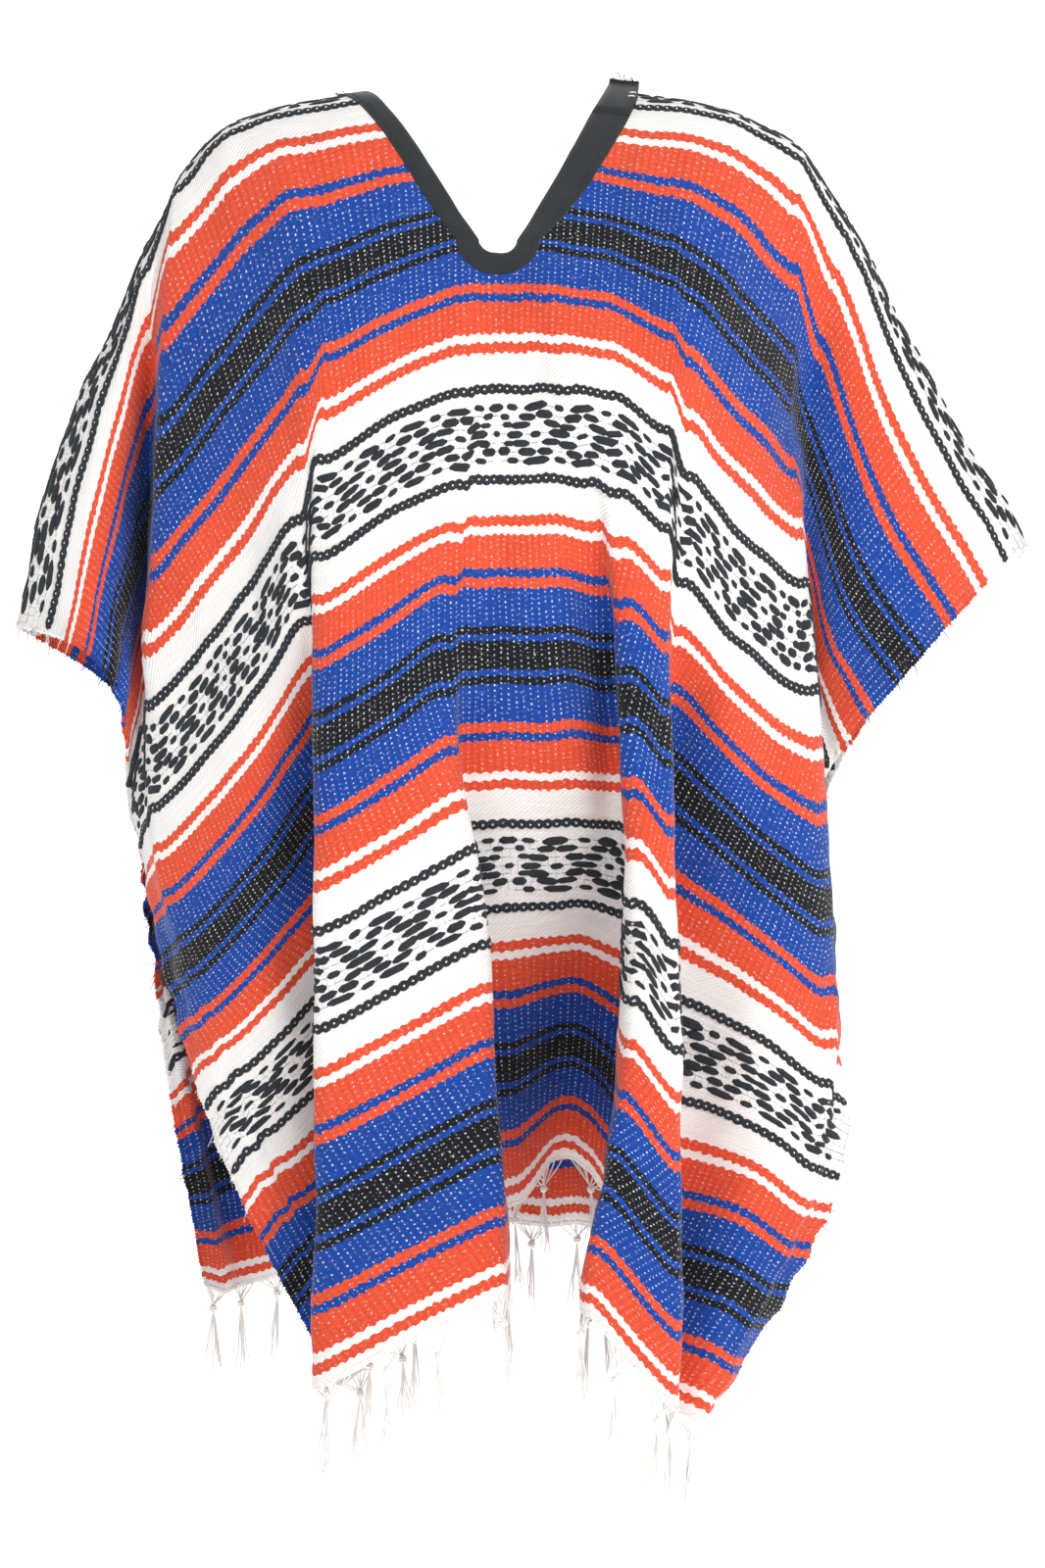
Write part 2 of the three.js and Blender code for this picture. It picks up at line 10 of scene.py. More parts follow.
import bpy
import numpy as np
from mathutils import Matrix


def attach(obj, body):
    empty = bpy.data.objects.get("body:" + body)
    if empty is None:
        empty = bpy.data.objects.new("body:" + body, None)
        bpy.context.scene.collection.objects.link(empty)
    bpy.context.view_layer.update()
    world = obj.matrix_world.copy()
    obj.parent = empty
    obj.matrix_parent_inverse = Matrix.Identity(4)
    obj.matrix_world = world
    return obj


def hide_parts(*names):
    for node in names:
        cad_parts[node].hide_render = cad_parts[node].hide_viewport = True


MM = 0.001
FACES = ("front", "back")
SIDES = ("left", "right")  # as seen from the front: left is -X, the wearer's right

# Cloth sizes, in millimetres
HALF_WIDTH = 635.0
DROP = 1000.0
CLOTH = 2.6
REPEAT = 352.0  # from one diamond band to the next
HALF_REPEAT = REPEAT / 2
FRINGE = 75.0
TAPE = 1.3
TAPE_GAP = 0.4

LEVELS = [0.0, 176.0, 352.0, 528.0, 704.0, 1000.0]  # down the cloth, for the folds below
SETTLED = 120.0  # how far down the folds have their solved depth
LEAST_DEPTH, MOST_DEPTH = 0.6, 1.25  # times that the folds may be as deep as in the tables
TURN_SHARE = 0.3  # most of the way to the next fold that a rounded turn may take up
TURN_START = 0.25  # share of their width that the turns have at the yoke and above
READINGS = 8  # of a curve, from one of its points to the next
HALVINGS = 12  # in the search for the depth of the folds

# Neck opening on the flat cloth: half widths at the shoulder fold and near the foot, and
# how far the arms of the V bow outwards half way: (top, foot, bow)
NECK = {
    "left": {"cut": (104.0, 17.0, 5.0), "tape": (122.0, 35.0, 5.0)},
    "right": {"cut": (92.0, 20.0, 9.0), "tape": (117.0, 40.0, 18.0)},
}
NECK_STRAIGHT = 190.0  # down to here the V runs on, below it is the rounded foot
NECK_FOOT, TAPE_FOOT = 204.0, 222.0

# The shoulder fold from the neck to the selvage. Columns: across, forward, down, and how
# steeply the front and the back leave it, in degrees below the level.
SHOULDER = {
    "left": [
        (0, 0, 0, 10, 10), (-60, 0, -2, 10, 10), (-110, 0, 0, 8, 10), (-205, 2, 24, -6, 10),
        (-248, 8, 63, -8, 5), (-294, 16, 162, 16, -15), (-346, 22, 284, 44, -25), (-380, 26, 428, 50, -28),
    ],
    "right": [
        (0, 0, 0, 18, 18), (60, 0, -2, 18, 18), (110, 0, 0, 14, 18), (205, 0, 22, -4, 18),
        (256, 2, 62, -4, 15), (312, 4, 160, 18, 12), (368, 4, 266, 32, 10), (428, 4, 362, 38, 8),
    ],
}

# Folds from the middle to the selvage. Columns: name, distance along the shoulder fold,
# width of its rounded turn, then across, out and down at the yoke, the same three at the
# chest, at the waist, at the hips and at the hem.
FRONT_MIDDLE = ("middle", 0, 0, 0, 85, 118, 0, 137, 286, 4, 138, 455, 10, 70, 618, 20, -70, 900)
BACK_MIDDLE = ("middle", 0, 0, 0, 95, 130, 0, 115, 300, 0, 125, 470, 0, 130, 640, 0, 138, 922)
FOLDS = {}
FOLDS["front", "left"] = [
    FRONT_MIDDLE,
    ("recess", 15, 12, -14, 85, 119, -12, 138, 287, -22, 138, 457, -25, 76, 623, 0, -40, 905),
    ("pleat edge", 45, 12, -34, 86, 121, -24, 139, 291, -40, 141, 464, -15, 138, 642, 5, 136, 948),
    ("pleat face", 92, 0, -75, 98, 137, -74, 140, 308, -80, 148, 490, -80, 150, 677, -68, 150, 980),
    ("pleat ridge", 150, 14, -130, 108, 162, -135, 133, 344, -136, 138, 522, -136, 138, 706, -138, 138, 1016),
    ("pleat root", 175, 12, -147, 108, 171, -150, 122, 394, -112, 72, 540, -52, 32, 674, -62, 58, 968),
    ("side panel", 215, 0, -192, 95, 218, -190, 92, 446, -184, 76, 632, -166, 65, 784, -84, 70, 994),
    ("body ridge", 262, 22, -266, 67, 300, -275, 40, 536, -244, 50, 692, -192, 62, 806, -98, 76, 1006),
    ("armpit", 330, 10, -280, 10, 346, -281, 22, 550, -252, 37, 700, -204, 60, 818, -106, 80, 1014),
    ("sleeve face", 480, 0, -300, 43, 424, -288, 6, 566, -258, 21, 702, -213, 55, 828, -114, 85, 1020),
    ("selvage", 635, 0, -307, 50, 471, -295, -8, 582, -265, 7, 710, -220, 50, 839, -122, 90, 1026),
]
FOLDS["front", "right"] = [
    FRONT_MIDDLE,
    ("recess", 15, 20, 14, 85, 119, 33, 138, 286, 44, 138, 456, 55, 62, 618, 55, -92, 868),
    ("pleat root", 38, 12, 30, 86, 120, 66, 143, 289, 88, 116, 462, 98, 52, 622, 118, -72, 935),
    ("pleat edge", 72, 10, 81, 89, 128, 92, 139, 295, 102, 143, 490, 107, 140, 684, 68, 146, 958),
    ("pleat ridge", 130, 10, 136, 108, 150, 130, 130, 320, 132, 138, 516, 137, 137, 718, 138, 138, 1031),
    ("pleat back", 152, 10, 148, 108, 159, 146, 121, 360, 130, 74, 552, 128, 42, 764, 134, 98, 1040),
    ("side panel", 200, 0, 186, 96, 192, 186, 92, 402, 199, 72, 608, 205, 60, 790, 154, 102, 1046),
    ("body ridge", 255, 22, 233, 54, 236, 244, 47, 438, 261, 40, 650, 258, 45, 827, 160, 100, 1050),
    ("armpit", 330, 10, 246, 32, 288, 251, 12, 500, 268, 13, 680, 267, 32, 834, 163, 97, 1051),
    ("sleeve face", 480, 0, 285, 42, 402, 256, -8, 538, 269, -6, 690, 274, 25, 838, 164, 93, 1052),
    ("selvage", 635, 0, 328, 40, 462, 259, -18, 565, 266, -15, 700, 279, 20, 841, 166, 90, 1053),
]
FOLDS["back", "left"] = [
    BACK_MIDDLE,
    ("flute", 60, 0, -60, 98, 135, -65, 125, 308, -66, 140, 482, -65, 150, 655, -60, 170, 935),
    ("pleat ridge", 155, 16, -128, 96, 152, -135, 125, 325, -143, 140, 499, -150, 150, 672, -150, 175, 955),
    ("pleat root", 172, 14, -144, 85, 160, -105, 62, 335, -76, 60, 496, -60, 70, 655, -70, 90, 940),
    ("side panel", 205, 0, -190, 85, 200, -190, 92, 420, -182, 93, 580, -170, 95, 715, -150, 110, 955),
    ("body ridge", 262, 22, -260, 108, 300, -276, 95, 530, -275, 92, 654, -260, 100, 745, -205, 140, 975),
    ("armpit", 330, 10, -272, 64, 350, -284, 60, 548, -281, 56, 663, -266, 62, 755, -225, 110, 978),
    ("sleeve back", 480, 0, -297, 55, 430, -289, 42, 568, -281, 45, 668, -270, 60, 762, -236, 98, 975),
    ("selvage", 635, 0, -312, 50, 480, -293, 25, 578, -283, 34, 670, -274, 58, 768, -243, 90, 972),
]
FOLDS["back", "right"] = [
    BACK_MIDDLE,
    ("flute", 45, 24, 45, 94, 133, 50, 108, 305, 50, 114, 477, 50, 118, 648, 55, 136, 926),
    ("pleat ridge", 148, 16, 120, 98, 146, 125, 130, 320, 130, 153, 495, 132, 172, 668, 120, 202, 950),
    ("pleat root", 165, 14, 148, 85, 158, 120, 68, 335, 116, 72, 513, 128, 88, 685, 165, 122, 952),
    ("side panel", 205, 0, 188, 85, 195, 186, 100, 420, 187, 106, 589, 190, 115, 730, 196, 165, 958),
    ("body ridge", 255, 20, 235, 100, 230, 245, 112, 455, 254, 101, 642, 255, 95, 790, 222, 150, 955),
    ("armpit", 330, 10, 244, 64, 290, 254, 82, 500, 263, 71, 667, 262, 62, 798, 225, 110, 948),
    ("sleeve back", 480, 0, 292, 52, 410, 262, 66, 545, 262, 60, 682, 264, 54, 804, 214, 86, 938),
    ("selvage", 635, 0, 325, 45, 470, 268, 52, 565, 263, 49, 691, 266, 48, 812, 200, 72, 926),
]

STEP = 8.6  # spacing of the rows and columns of points
TURN_FACETS = 3
FOOT_ROWS = (0.0, 0.4, 0.7, 0.9, 1.0)  # shares of the neck's rounded foot
NECK_CLEAR = 240.0  # past this far from the middle the columns keep their distance
ALIKE = 90.0  # down to here the columns of the front and the back draw together
ON_FOLD = 60.0  # down to here the points draw in to the shoulder fold
APART = 1e5  # added to each row's reaches, to search all the rows as one sorted list

RIPPLES = 7  # sine waves in each kind of unevenness
# The small unevenness of the cloth. Columns: height, wavelength across, wavelength down,
# and the seed of its phases
SOFT_FOLDS = [(2.2, 120, 520, 3), (1.0, 60, 210, 5), (0.35, 34, 60, 8)]
WAVY_SELVAGE = (2.6, 400, 62, 12)
WAVY_HEM = (2.0, 58, 300, 15)
SELVAGE_BAND, HEM_BAND = 90.0, 70.0
CALM, CALM_ACROSS, CALM_DOWN = 0.75, 200.0, 60.0  # near the neck the cloth lies flatter


# --- smooth curves

class Curves:
    """Smooth curves, one through each row of points, read by place or by length."""

    def __init__(self, points, knots=None, first=None):
        self.points = points
        steps = np.linalg.norm(np.diff(points, axis=1), axis=2) ** 0.5
        if knots is not None:
            steps = np.broadcast_to(np.diff(knots), steps.shape)
        self.steps = steps
        chords = np.diff(points, axis=1) / steps[..., None]
        slopes = np.empty_like(points)
        slopes[:, 0] = chords[:, 0] if first is None else first
        slopes[:, -1] = chords[:, -1]
        before, after = steps[:, :-1, None], steps[:, 1:, None]
        slopes[:, 1:-1] = (chords[:, :-1] * after + chords[:, 1:] * before) / (before + after)
        self.slopes = slopes

    def at(self, places):
        rows = np.arange(len(self.points))[:, None]
        places = np.broadcast_to(places, (len(self.points), np.shape(places)[-1]))
        i = np.clip(places.astype(int), 0, self.points.shape[1] - 2)
        span = self.steps[rows, i][..., None]
        ends = [(self.points[rows, k], self.slopes[rows, k] * span) for k in (i, i + 1)]
        return between(*ends[0], *ends[1], (places - i)[..., None])

    def table(self):
        """Places along the curves and the length of each curve up to them."""
        last = self.points.shape[1] - 1
        places = np.linspace(0, last, last * READINGS + 1)
        return places, lengths_along(self.at(places))


def between(start, out, end, into, s):
    """A smooth path from start, leaving along out, to end, arriving along into."""
    return (
        start * (1 + 2 * s) * (1 - s) ** 2
        + out * s * (1 - s) ** 2
        + end * s * s * (3 - 2 * s)
        + into * s * s * (s - 1)
    )


def lengths_along(points):
    """How far each point of a path is from its first, for one path or for many."""
    chords = np.linalg.norm(np.diff(points, axis=-2), axis=-1)
    return np.concatenate([np.zeros_like(chords[..., :1]), np.cumsum(chords, axis=-1)], axis=-1)


def pairs(u, v):
    return np.stack(np.broadcast_arrays(u, v), axis=-1)


def unit(vectors):
    return vectors / np.maximum(np.linalg.norm(vectors, axis=-1, keepdims=True), 1e-9)


def smooth_step(value, low, high):
    t = np.clip((value - low) / (high - low), 0, 1)
    return t * t * (3 - 2 * t)


def on_shoulder(side, shares, read):
    """What read finds on the shoulder fold's curve at shares of the fold's length."""
    curve = Curves(np.array([[(x, -out, -down) for x, out, down, *_ in SHOULDER[side]]], float))
    places, lengths = curve.table()
    return read(curve, np.interp(np.asarray(shares) * lengths[0, -1], lengths[0], places))


def shoulder_points(side, shares):
    """Points on the shoulder fold at shares of the way from the neck to the selvage."""
    return on_shoulder(side, shares, lambda curve, wanted: curve.at(wanted[None])[0])


def shoulder_slopes(face, side, shares):
    """The way in which one face leaves the shoulder fold, square to it."""
    def slopes(curve, wanted):
        dips = [row[3 if face == "front" else 4] for row in SHOULDER[side]]
        dip = np.radians(np.interp(wanted, range(len(dips)), dips))[:, None]
        run = unit(curve.at(wanted[None] + 0.01)[0] - curve.at(wanted[None] - 0.01)[0])
        inward = run[:, [2, 1, 0]] * ((1, 0, -1) if side == "right" else (-1, 0, 1))
        return np.cos(dip) * (0, 1, 0) + np.sin(dip) * unit(inward)
    return on_shoulder(side, shares, slopes)


# --- sections of the cloth

def turned_points(points, turns, started, runs):
    """Two points for each fold with a rounded turn, spread square to the run of the fold."""
    made = []
    for i, turn in enumerate(turns):
        p = points[:, i]
        if turn == 0:
            made.append(p)
            continue
        before, after = points[:, i - 1] - p, points[:, i + 1] - p
        room = np.minimum(np.linalg.norm(before, axis=1), np.linalg.norm(after, axis=1)) * TURN_SHARE
        across = unit(after) - unit(before)
        across = unit(across - runs[:, i] * np.sum(across * runs[:, i], axis=1, keepdims=True))
        half = np.minimum(turn / 2 * (TURN_START + (1 - TURN_START) * started), room)[:, None]
        made += [p - across * half, p + across * half]
    return np.stack(made, axis=1)


def deepened(points, depth):
    """Folds made deeper or shallower about the line from the middle to the selvage."""
    share = np.linspace(0, 1, points.shape[1])
    base = points[:, :1, 1] * (1 - share) + points[:, -1:, 1] * share
    made = points.copy()
    made[..., 1] = base + depth[:, None] * (points[..., 1] - base)
    return made


def faced(points, face):
    """Points between the world, where the front is -Y, and a face, where out is +Y."""
    return points * ((1, -1, 1) if face == "front" else (1, 1, 1))


def sections(face, side, rows):
    """A curve across one side of a face at each distance down the cloth."""
    folds = FOLDS[face, side]
    shares = [row[1] / HALF_WIDTH for row in folds]
    starts = faced(shoulder_points(side, shares), face)
    below = np.array([row[3:] for row in folds]).reshape(len(folds), -1, 3) * (1.0, 1.0, -1.0)
    points = np.concatenate([starts[:, None], below], axis=1)
    paths = Curves(points, LEVELS, shoulder_slopes(face, side, shares))
    turns = [row[2] for row in folds]

    def at(down):
        return paths.at(np.interp(down, LEVELS, range(len(LEVELS)))[None]).transpose(1, 0, 2)

    points = at(rows)
    runs = unit(at(rows + 1) - at(np.maximum(rows - 1, 0)))
    started = smooth_step(rows, LEVELS[1], LEVELS[3])
    low, high = np.full(len(rows), LEAST_DEPTH), np.full(len(rows), MOST_DEPTH)
    for _ in range(HALVINGS):
        middle = (low + high) / 2
        curves = Curves(turned_points(deepened(points, middle), turns, started, runs))
        short = curves.table()[1][:, -1] < HALF_WIDTH
        low, high = np.where(short, middle, low), np.where(short, high, middle)
    depth = 1 + ((low + high) / 2 - 1) * smooth_step(rows, 0, SETTLED)
    return Curves(turned_points(deepened(points, depth), turns, started, runs)), turns


def facet_counts(curves, turns):
    """How many facets each stretch of the sections gets: a few at each turn of a fold."""
    lengths = np.linalg.norm(np.diff(curves.points, axis=1), axis=2).mean(axis=0)
    is_turn = []
    for turn in turns:
        is_turn += [True, False] if turn > 0 else [False]
    counts = np.maximum(1, np.round(lengths / STEP)).astype(int)
    counts[np.array(is_turn[:-1])] = TURN_FACETS
    return counts


def places_of(counts, total):
    """The places of the columns, with spare ones given to the widest facets."""
    counts = counts.copy()
    for _ in range(total - counts.sum()):
        counts[np.argmax(np.where(counts == TURN_FACETS, 0, counts))] += 1
    stretches = [i + np.arange(n) / n for i, n in enumerate(counts)]
    return np.concatenate(stretches + [[len(counts)]])


def neck_half_width(side, edge, down):
    """How far the cut edge or the tape's edge is from the middle, down to the foot."""
    top, foot, bow = NECK[side][edge]
    share = np.minimum(down / NECK_STRAIGHT, 1)
    return top * (1 - share) + foot * share + 4 * bow * share * (1 - share)


def cut_half_width(side, down):
    """How far the cut edge is from the middle, round the foot too."""
    past = np.clip((down - NECK_STRAIGHT) / (NECK_FOOT - NECK_STRAIGHT), 0, 1)
    return neck_half_width(side, "cut", down) * np.sqrt(1 - past**2)


def draws(seed, face="front"):
    """Random numbers of one kind of piece, others on the back than on the front."""
    return np.random.RandomState(seed + FACES.index(face))


def ripples(u, v, wave_u, wave_v, seed):
    """Smooth unevenness with the given wavelengths, about -1 to 1."""
    random = draws(seed)
    total = np.zeros(np.broadcast(u, v).shape)
    for _ in range(RIPPLES):
        a, b = random.uniform(0.6, 1.4, 2)
        sign = random.choice([-1, 1])
        phase = random.uniform(0, 2 * math.pi)
        total += np.sin(2 * math.pi * (a * u / wave_u + sign * b * v / wave_v) + phase)
    return total / math.sqrt(2 * RIPPLES)


def unevenness(u, v):
    """How far the cloth stands out of its smooth form: soft folds, wavy selvages and hems."""
    def rippled(height, *form):
        return height * ripples(u, v, *form)
    folds = sum(rippled(*row) for row in SOFT_FOLDS)
    calm = 1 - CALM * np.exp(-((v / CALM_DOWN) ** 2)) * (np.abs(u) < CALM_ACROSS)
    selvage = smooth_step(np.abs(u), HALF_WIDTH - SELVAGE_BAND, HALF_WIDTH)
    hem = smooth_step(np.abs(v), DROP - HEM_BAND, DROP)
    return calm * folds + selvage * rippled(*WAVY_SELVAGE) + hem * rippled(*WAVY_HEM)


def sign_of(face):
    """Which way v runs down a face."""
    return 1 if face == "front" else -1


class Cloth:
    """The panel as four sheets of points that share their edges, with u and v at each."""

    def __init__(self):
        foot = NECK_STRAIGHT + (NECK_FOOT - NECK_STRAIGHT) * np.array(FOOT_ROWS)
        upper = np.linspace(0, NECK_STRAIGHT, round(NECK_STRAIGHT / STEP), endpoint=False)
        lower = np.linspace(NECK_FOOT, DROP, round((DROP - NECK_FOOT) / STEP) + 1)[1:]
        self.rows = np.concatenate([upper, foot, lower])
        self.foot_row = len(upper) + len(foot) - 1
        made = {key: sections(*key, self.rows) for key in FOLDS}
        self.reach, self.points = {}, {}
        for side in SIDES:
            counts = {face: facet_counts(*made[face, side]) for face in FACES}
            total = max(count.sum() for count in counts.values())
            reach = {f: self.reach_of(side, made[f, side][0], places_of(counts[f], total)) for f in counts}
            common = (reach["front"][0] + reach["back"][0]) / 2
            near = 1 - smooth_step(self.rows, 0, ALIKE)[:, None]
            for face in FACES:
                key = face, side
                self.reach[key] = reach[face] + near * (common - reach[face][0])
                self.points[key] = self.points_of(face, side, made[key][0], self.reach[key])
        self.index_points()
        self.roughen()

    def reach_of(self, side, curves, columns):
        """Distances on the flat cloth of each column from the middle, in each row."""
        places, lengths = curves.table()
        full = lengths[:, -1:]
        reach = np.array([np.interp(columns, places, row) for row in lengths]) / full * HALF_WIDTH
        cut = cut_half_width(side, self.rows)[:, None]
        inside = self.rows[:, None] <= NECK_FOOT
        squeezed = cut + reach * (NECK_CLEAR - cut) / NECK_CLEAR
        return np.where(inside & (reach < NECK_CLEAR), squeezed, reach)

    def points_of(self, face, side, curves, reach):
        """Points of one sheet, the first row of them on the shoulder fold."""
        places, lengths = curves.table()
        along = reach / HALF_WIDTH * lengths[:, -1:]
        points = curves.at(np.array([np.interp(*both, places) for both in zip(along, lengths)]))
        on_fold = faced(shoulder_points(side, reach[0] / HALF_WIDTH), face)
        near = 1 - smooth_step(self.rows, 0, ON_FOLD)[:, None, None]
        return points + near * (on_fold - points[0])

    def index_points(self):
        """Numbers the points, alike where two sheets share them, and lists the quads."""
        rows = len(self.rows)
        self.index, count = {}, 0
        for key, points in self.points.items():
            columns = points.shape[1]
            self.index[key] = count + np.arange(rows * columns).reshape(rows, columns)
            count += rows * columns
        for side in SIDES:
            self.index["back", side][0] = self.index["front", side][0]
        for face in FACES:
            self.index[face, "right"][self.foot_row :, 0] = self.index[face, "left"][self.foot_row :, 0]
        self.co = np.zeros((count, 3))
        self.uv = np.zeros((count, 2))
        quads = []
        for (face, side), grid in self.index.items():
            self.co[grid] = faced(self.points[face, side], face)
            across = self.reach[face, side] * (1 if side == "right" else -1)
            self.uv[grid] = pairs(across, self.rows[:, None] * sign_of(face))
            quad = np.stack([grid[:-1, :-1], grid[:-1, 1:], grid[1:, 1:], grid[1:, :-1]], axis=-1)
            if (face == "front") != (side == "left"):
                quad = quad[..., ::-1]
            quads.append(quad.reshape(-1, 4))
        self.quads = np.concatenate(quads)

    def roughen(self):
        """Adds the small unevenness, and finds the way the cloth faces at each point."""
        self.normals = point_normals(self.co, self.quads)
        u, v = self.uv.T
        self.co = self.co + self.normals * unevenness(u, v)[:, None]
        self.normals = point_normals(self.co, self.quads)

    def on(self, u, v, lift=0.0):
        """Points on the cloth at (u, v), lifted off it, and the way it faces there."""
        u, v = np.broadcast_arrays(np.asarray(u, float), np.asarray(v, float))
        shape = u.shape
        u, v = u.ravel(), v.ravel()
        points, normals = np.zeros((len(u), 3)), np.zeros((len(u), 3))
        for (face, side), grid in self.index.items():
            mine = ((v >= 0) == (face == "front")) & ((u >= 0) == (side == "right"))
            if not mine.any():
                continue
            points[mine], normals[mine] = self.read(grid, self.reach[face, side], u[mine], v[mine])
        normals = unit(normals)
        lift = np.broadcast_to(lift, shape).reshape(-1, 1)
        return (points + normals * lift).reshape(*shape, 3), normals.reshape(*shape, 3)

    def read(self, grid, reach, u, v):
        """Points and facings of one sheet at (u, v), between the four points round each."""
        across, down = np.abs(u), np.abs(v)
        j = np.clip(np.searchsorted(self.rows, down, side="right") - 1, 0, len(self.rows) - 2)
        share = ((down - self.rows[j]) / (self.rows[j + 1] - self.rows[j]))[:, None]
        found = []
        for row in (j, j + 1):
            columns = reach.shape[1]
            lifted = (reach + np.arange(len(self.rows))[:, None] * APART).ravel()
            k = np.searchsorted(lifted, across + row * APART, side="right") - 1 - row * columns
            k = np.clip(k, 0, columns - 2)
            width = reach[row, k + 1] - reach[row, k]
            s = ((across - reach[row, k]) / width)[:, None]
            a, b = grid[row, k], grid[row, k + 1]
            found.append([values[a] * (1 - s) + values[b] * s for values in (self.co, self.normals)])
        return [here * (1 - share) + there * share for here, there in zip(*found)]


def point_normals(co, quads):
    """The way the surface faces at each point."""
    a, b, c, d = (co[quads[:, i]] for i in range(4))
    facing = unit(np.cross(c - a, d - b))
    total = np.zeros_like(co)
    for i in range(4):
        np.add.at(total, quads[:, i], facing)
    return unit(total)


# --- meshes

class Pieces:
    """Collects points, faces and cloth places of many small forms for one joined mesh."""

    def __init__(self):
        self.co, self.faces, self.uv, self.count = [], [], [], 0

    def add(self, co, faces, uv):
        self.co.append(co)
        self.uv.append(uv)
        self.faces += [[i + self.count for i in face] for face in faces]
        self.count += len(co)

    def tubes(self, paths, facing, radius, uv=0.0, sides=6, tall=1.0):
        """Capped tubes along paths, shape (tubes, points, 3). facing says which way is up,
        and tall how many times taller than wide they are."""
        paths = np.asarray(paths, float)
        many, length = paths.shape[:2]
        along = unit(np.gradient(paths, axis=1))
        side = unit(np.cross(along, np.broadcast_to(facing, paths.shape)))
        top = np.cross(side, along)
        angle = 2 * math.pi * np.arange(sides) / sides
        radius = np.broadcast_to(radius, paths.shape[:2])[..., None, None]
        rise = tall * np.sin(angle)[:, None]
        ring = np.cos(angle)[:, None] * side[:, :, None] + rise * top[:, :, None]
        co = paths[:, :, None] + ring * radius
        uv = np.broadcast_to(uv, (many, length, 2)).reshape(-1, 2)
        caps = [range(sides)[::-1], range((length - 1) * sides, length * sides)]
        starts = range(0, many * length * sides, length * sides)
        forms = (ring_quads(length, sides), caps)
        faces = [[i + start for i in face] for form in forms for start in starts for face in form]
        self.add(co.reshape(-1, 3), faces, np.repeat(uv, sides, axis=0))

    def tube(self, path, facing, radius, uv=0.0, **form):
        """One tube, as above."""
        uv = np.broadcast_to(uv, (len(path), 2))
        self.tubes(path[None], facing, radius, uv[None], **form)

    def build(self, name, material):
        return make_mesh(name, np.concatenate(self.co), self.faces, np.concatenate(self.uv), material)


def ring_quads(rings, size, closed=False):
    """Quads between one ring of points and the next, and from the last to the first."""
    i = np.arange(rings if closed else rings - 1)[:, None] * size
    j = (i + size) % (rings * size)
    k = np.arange(size)
    m = (k + 1) % size
    return np.stack([i + k, i + m, j + m, j + k], axis=-1).reshape(-1, 4).tolist()


def make_mesh(name, co, faces, uv, material):
    """A smooth mesh object from millimetres, with u and v in metres as its UV map."""
    mesh = bpy.data.meshes.new(name)
    mesh.from_pydata((co * MM).tolist(), [], faces)
    layer = mesh.uv_layers.new(name="Cloth")
    corners = np.zeros(len(mesh.loops), np.int32)
    mesh.loops.foreach_get("vertex_index", corners)
    layer.data.foreach_set("uv", (uv[corners] * MM).astype(np.float32).ravel())
    mesh.polygons.foreach_set("use_smooth", np.ones(len(mesh.polygons), bool))
    mesh.materials.append(material)
    made = bpy.data.objects.new(name, mesh)
    bpy.context.scene.collection.objects.link(made)
    return made


# --- materials

def linear(hex_colour, alpha=1.0):
    """A Blender colour from a screen colour such as #1f4dc0."""
    values = [int(hex_colour[i : i + 2], 16) / 255 for i in (1, 3, 5)]
    return [*(x / 12.92 if x <= 0.04045 else ((x + 0.055) / 1.055) ** 2.4 for x in values), alpha]


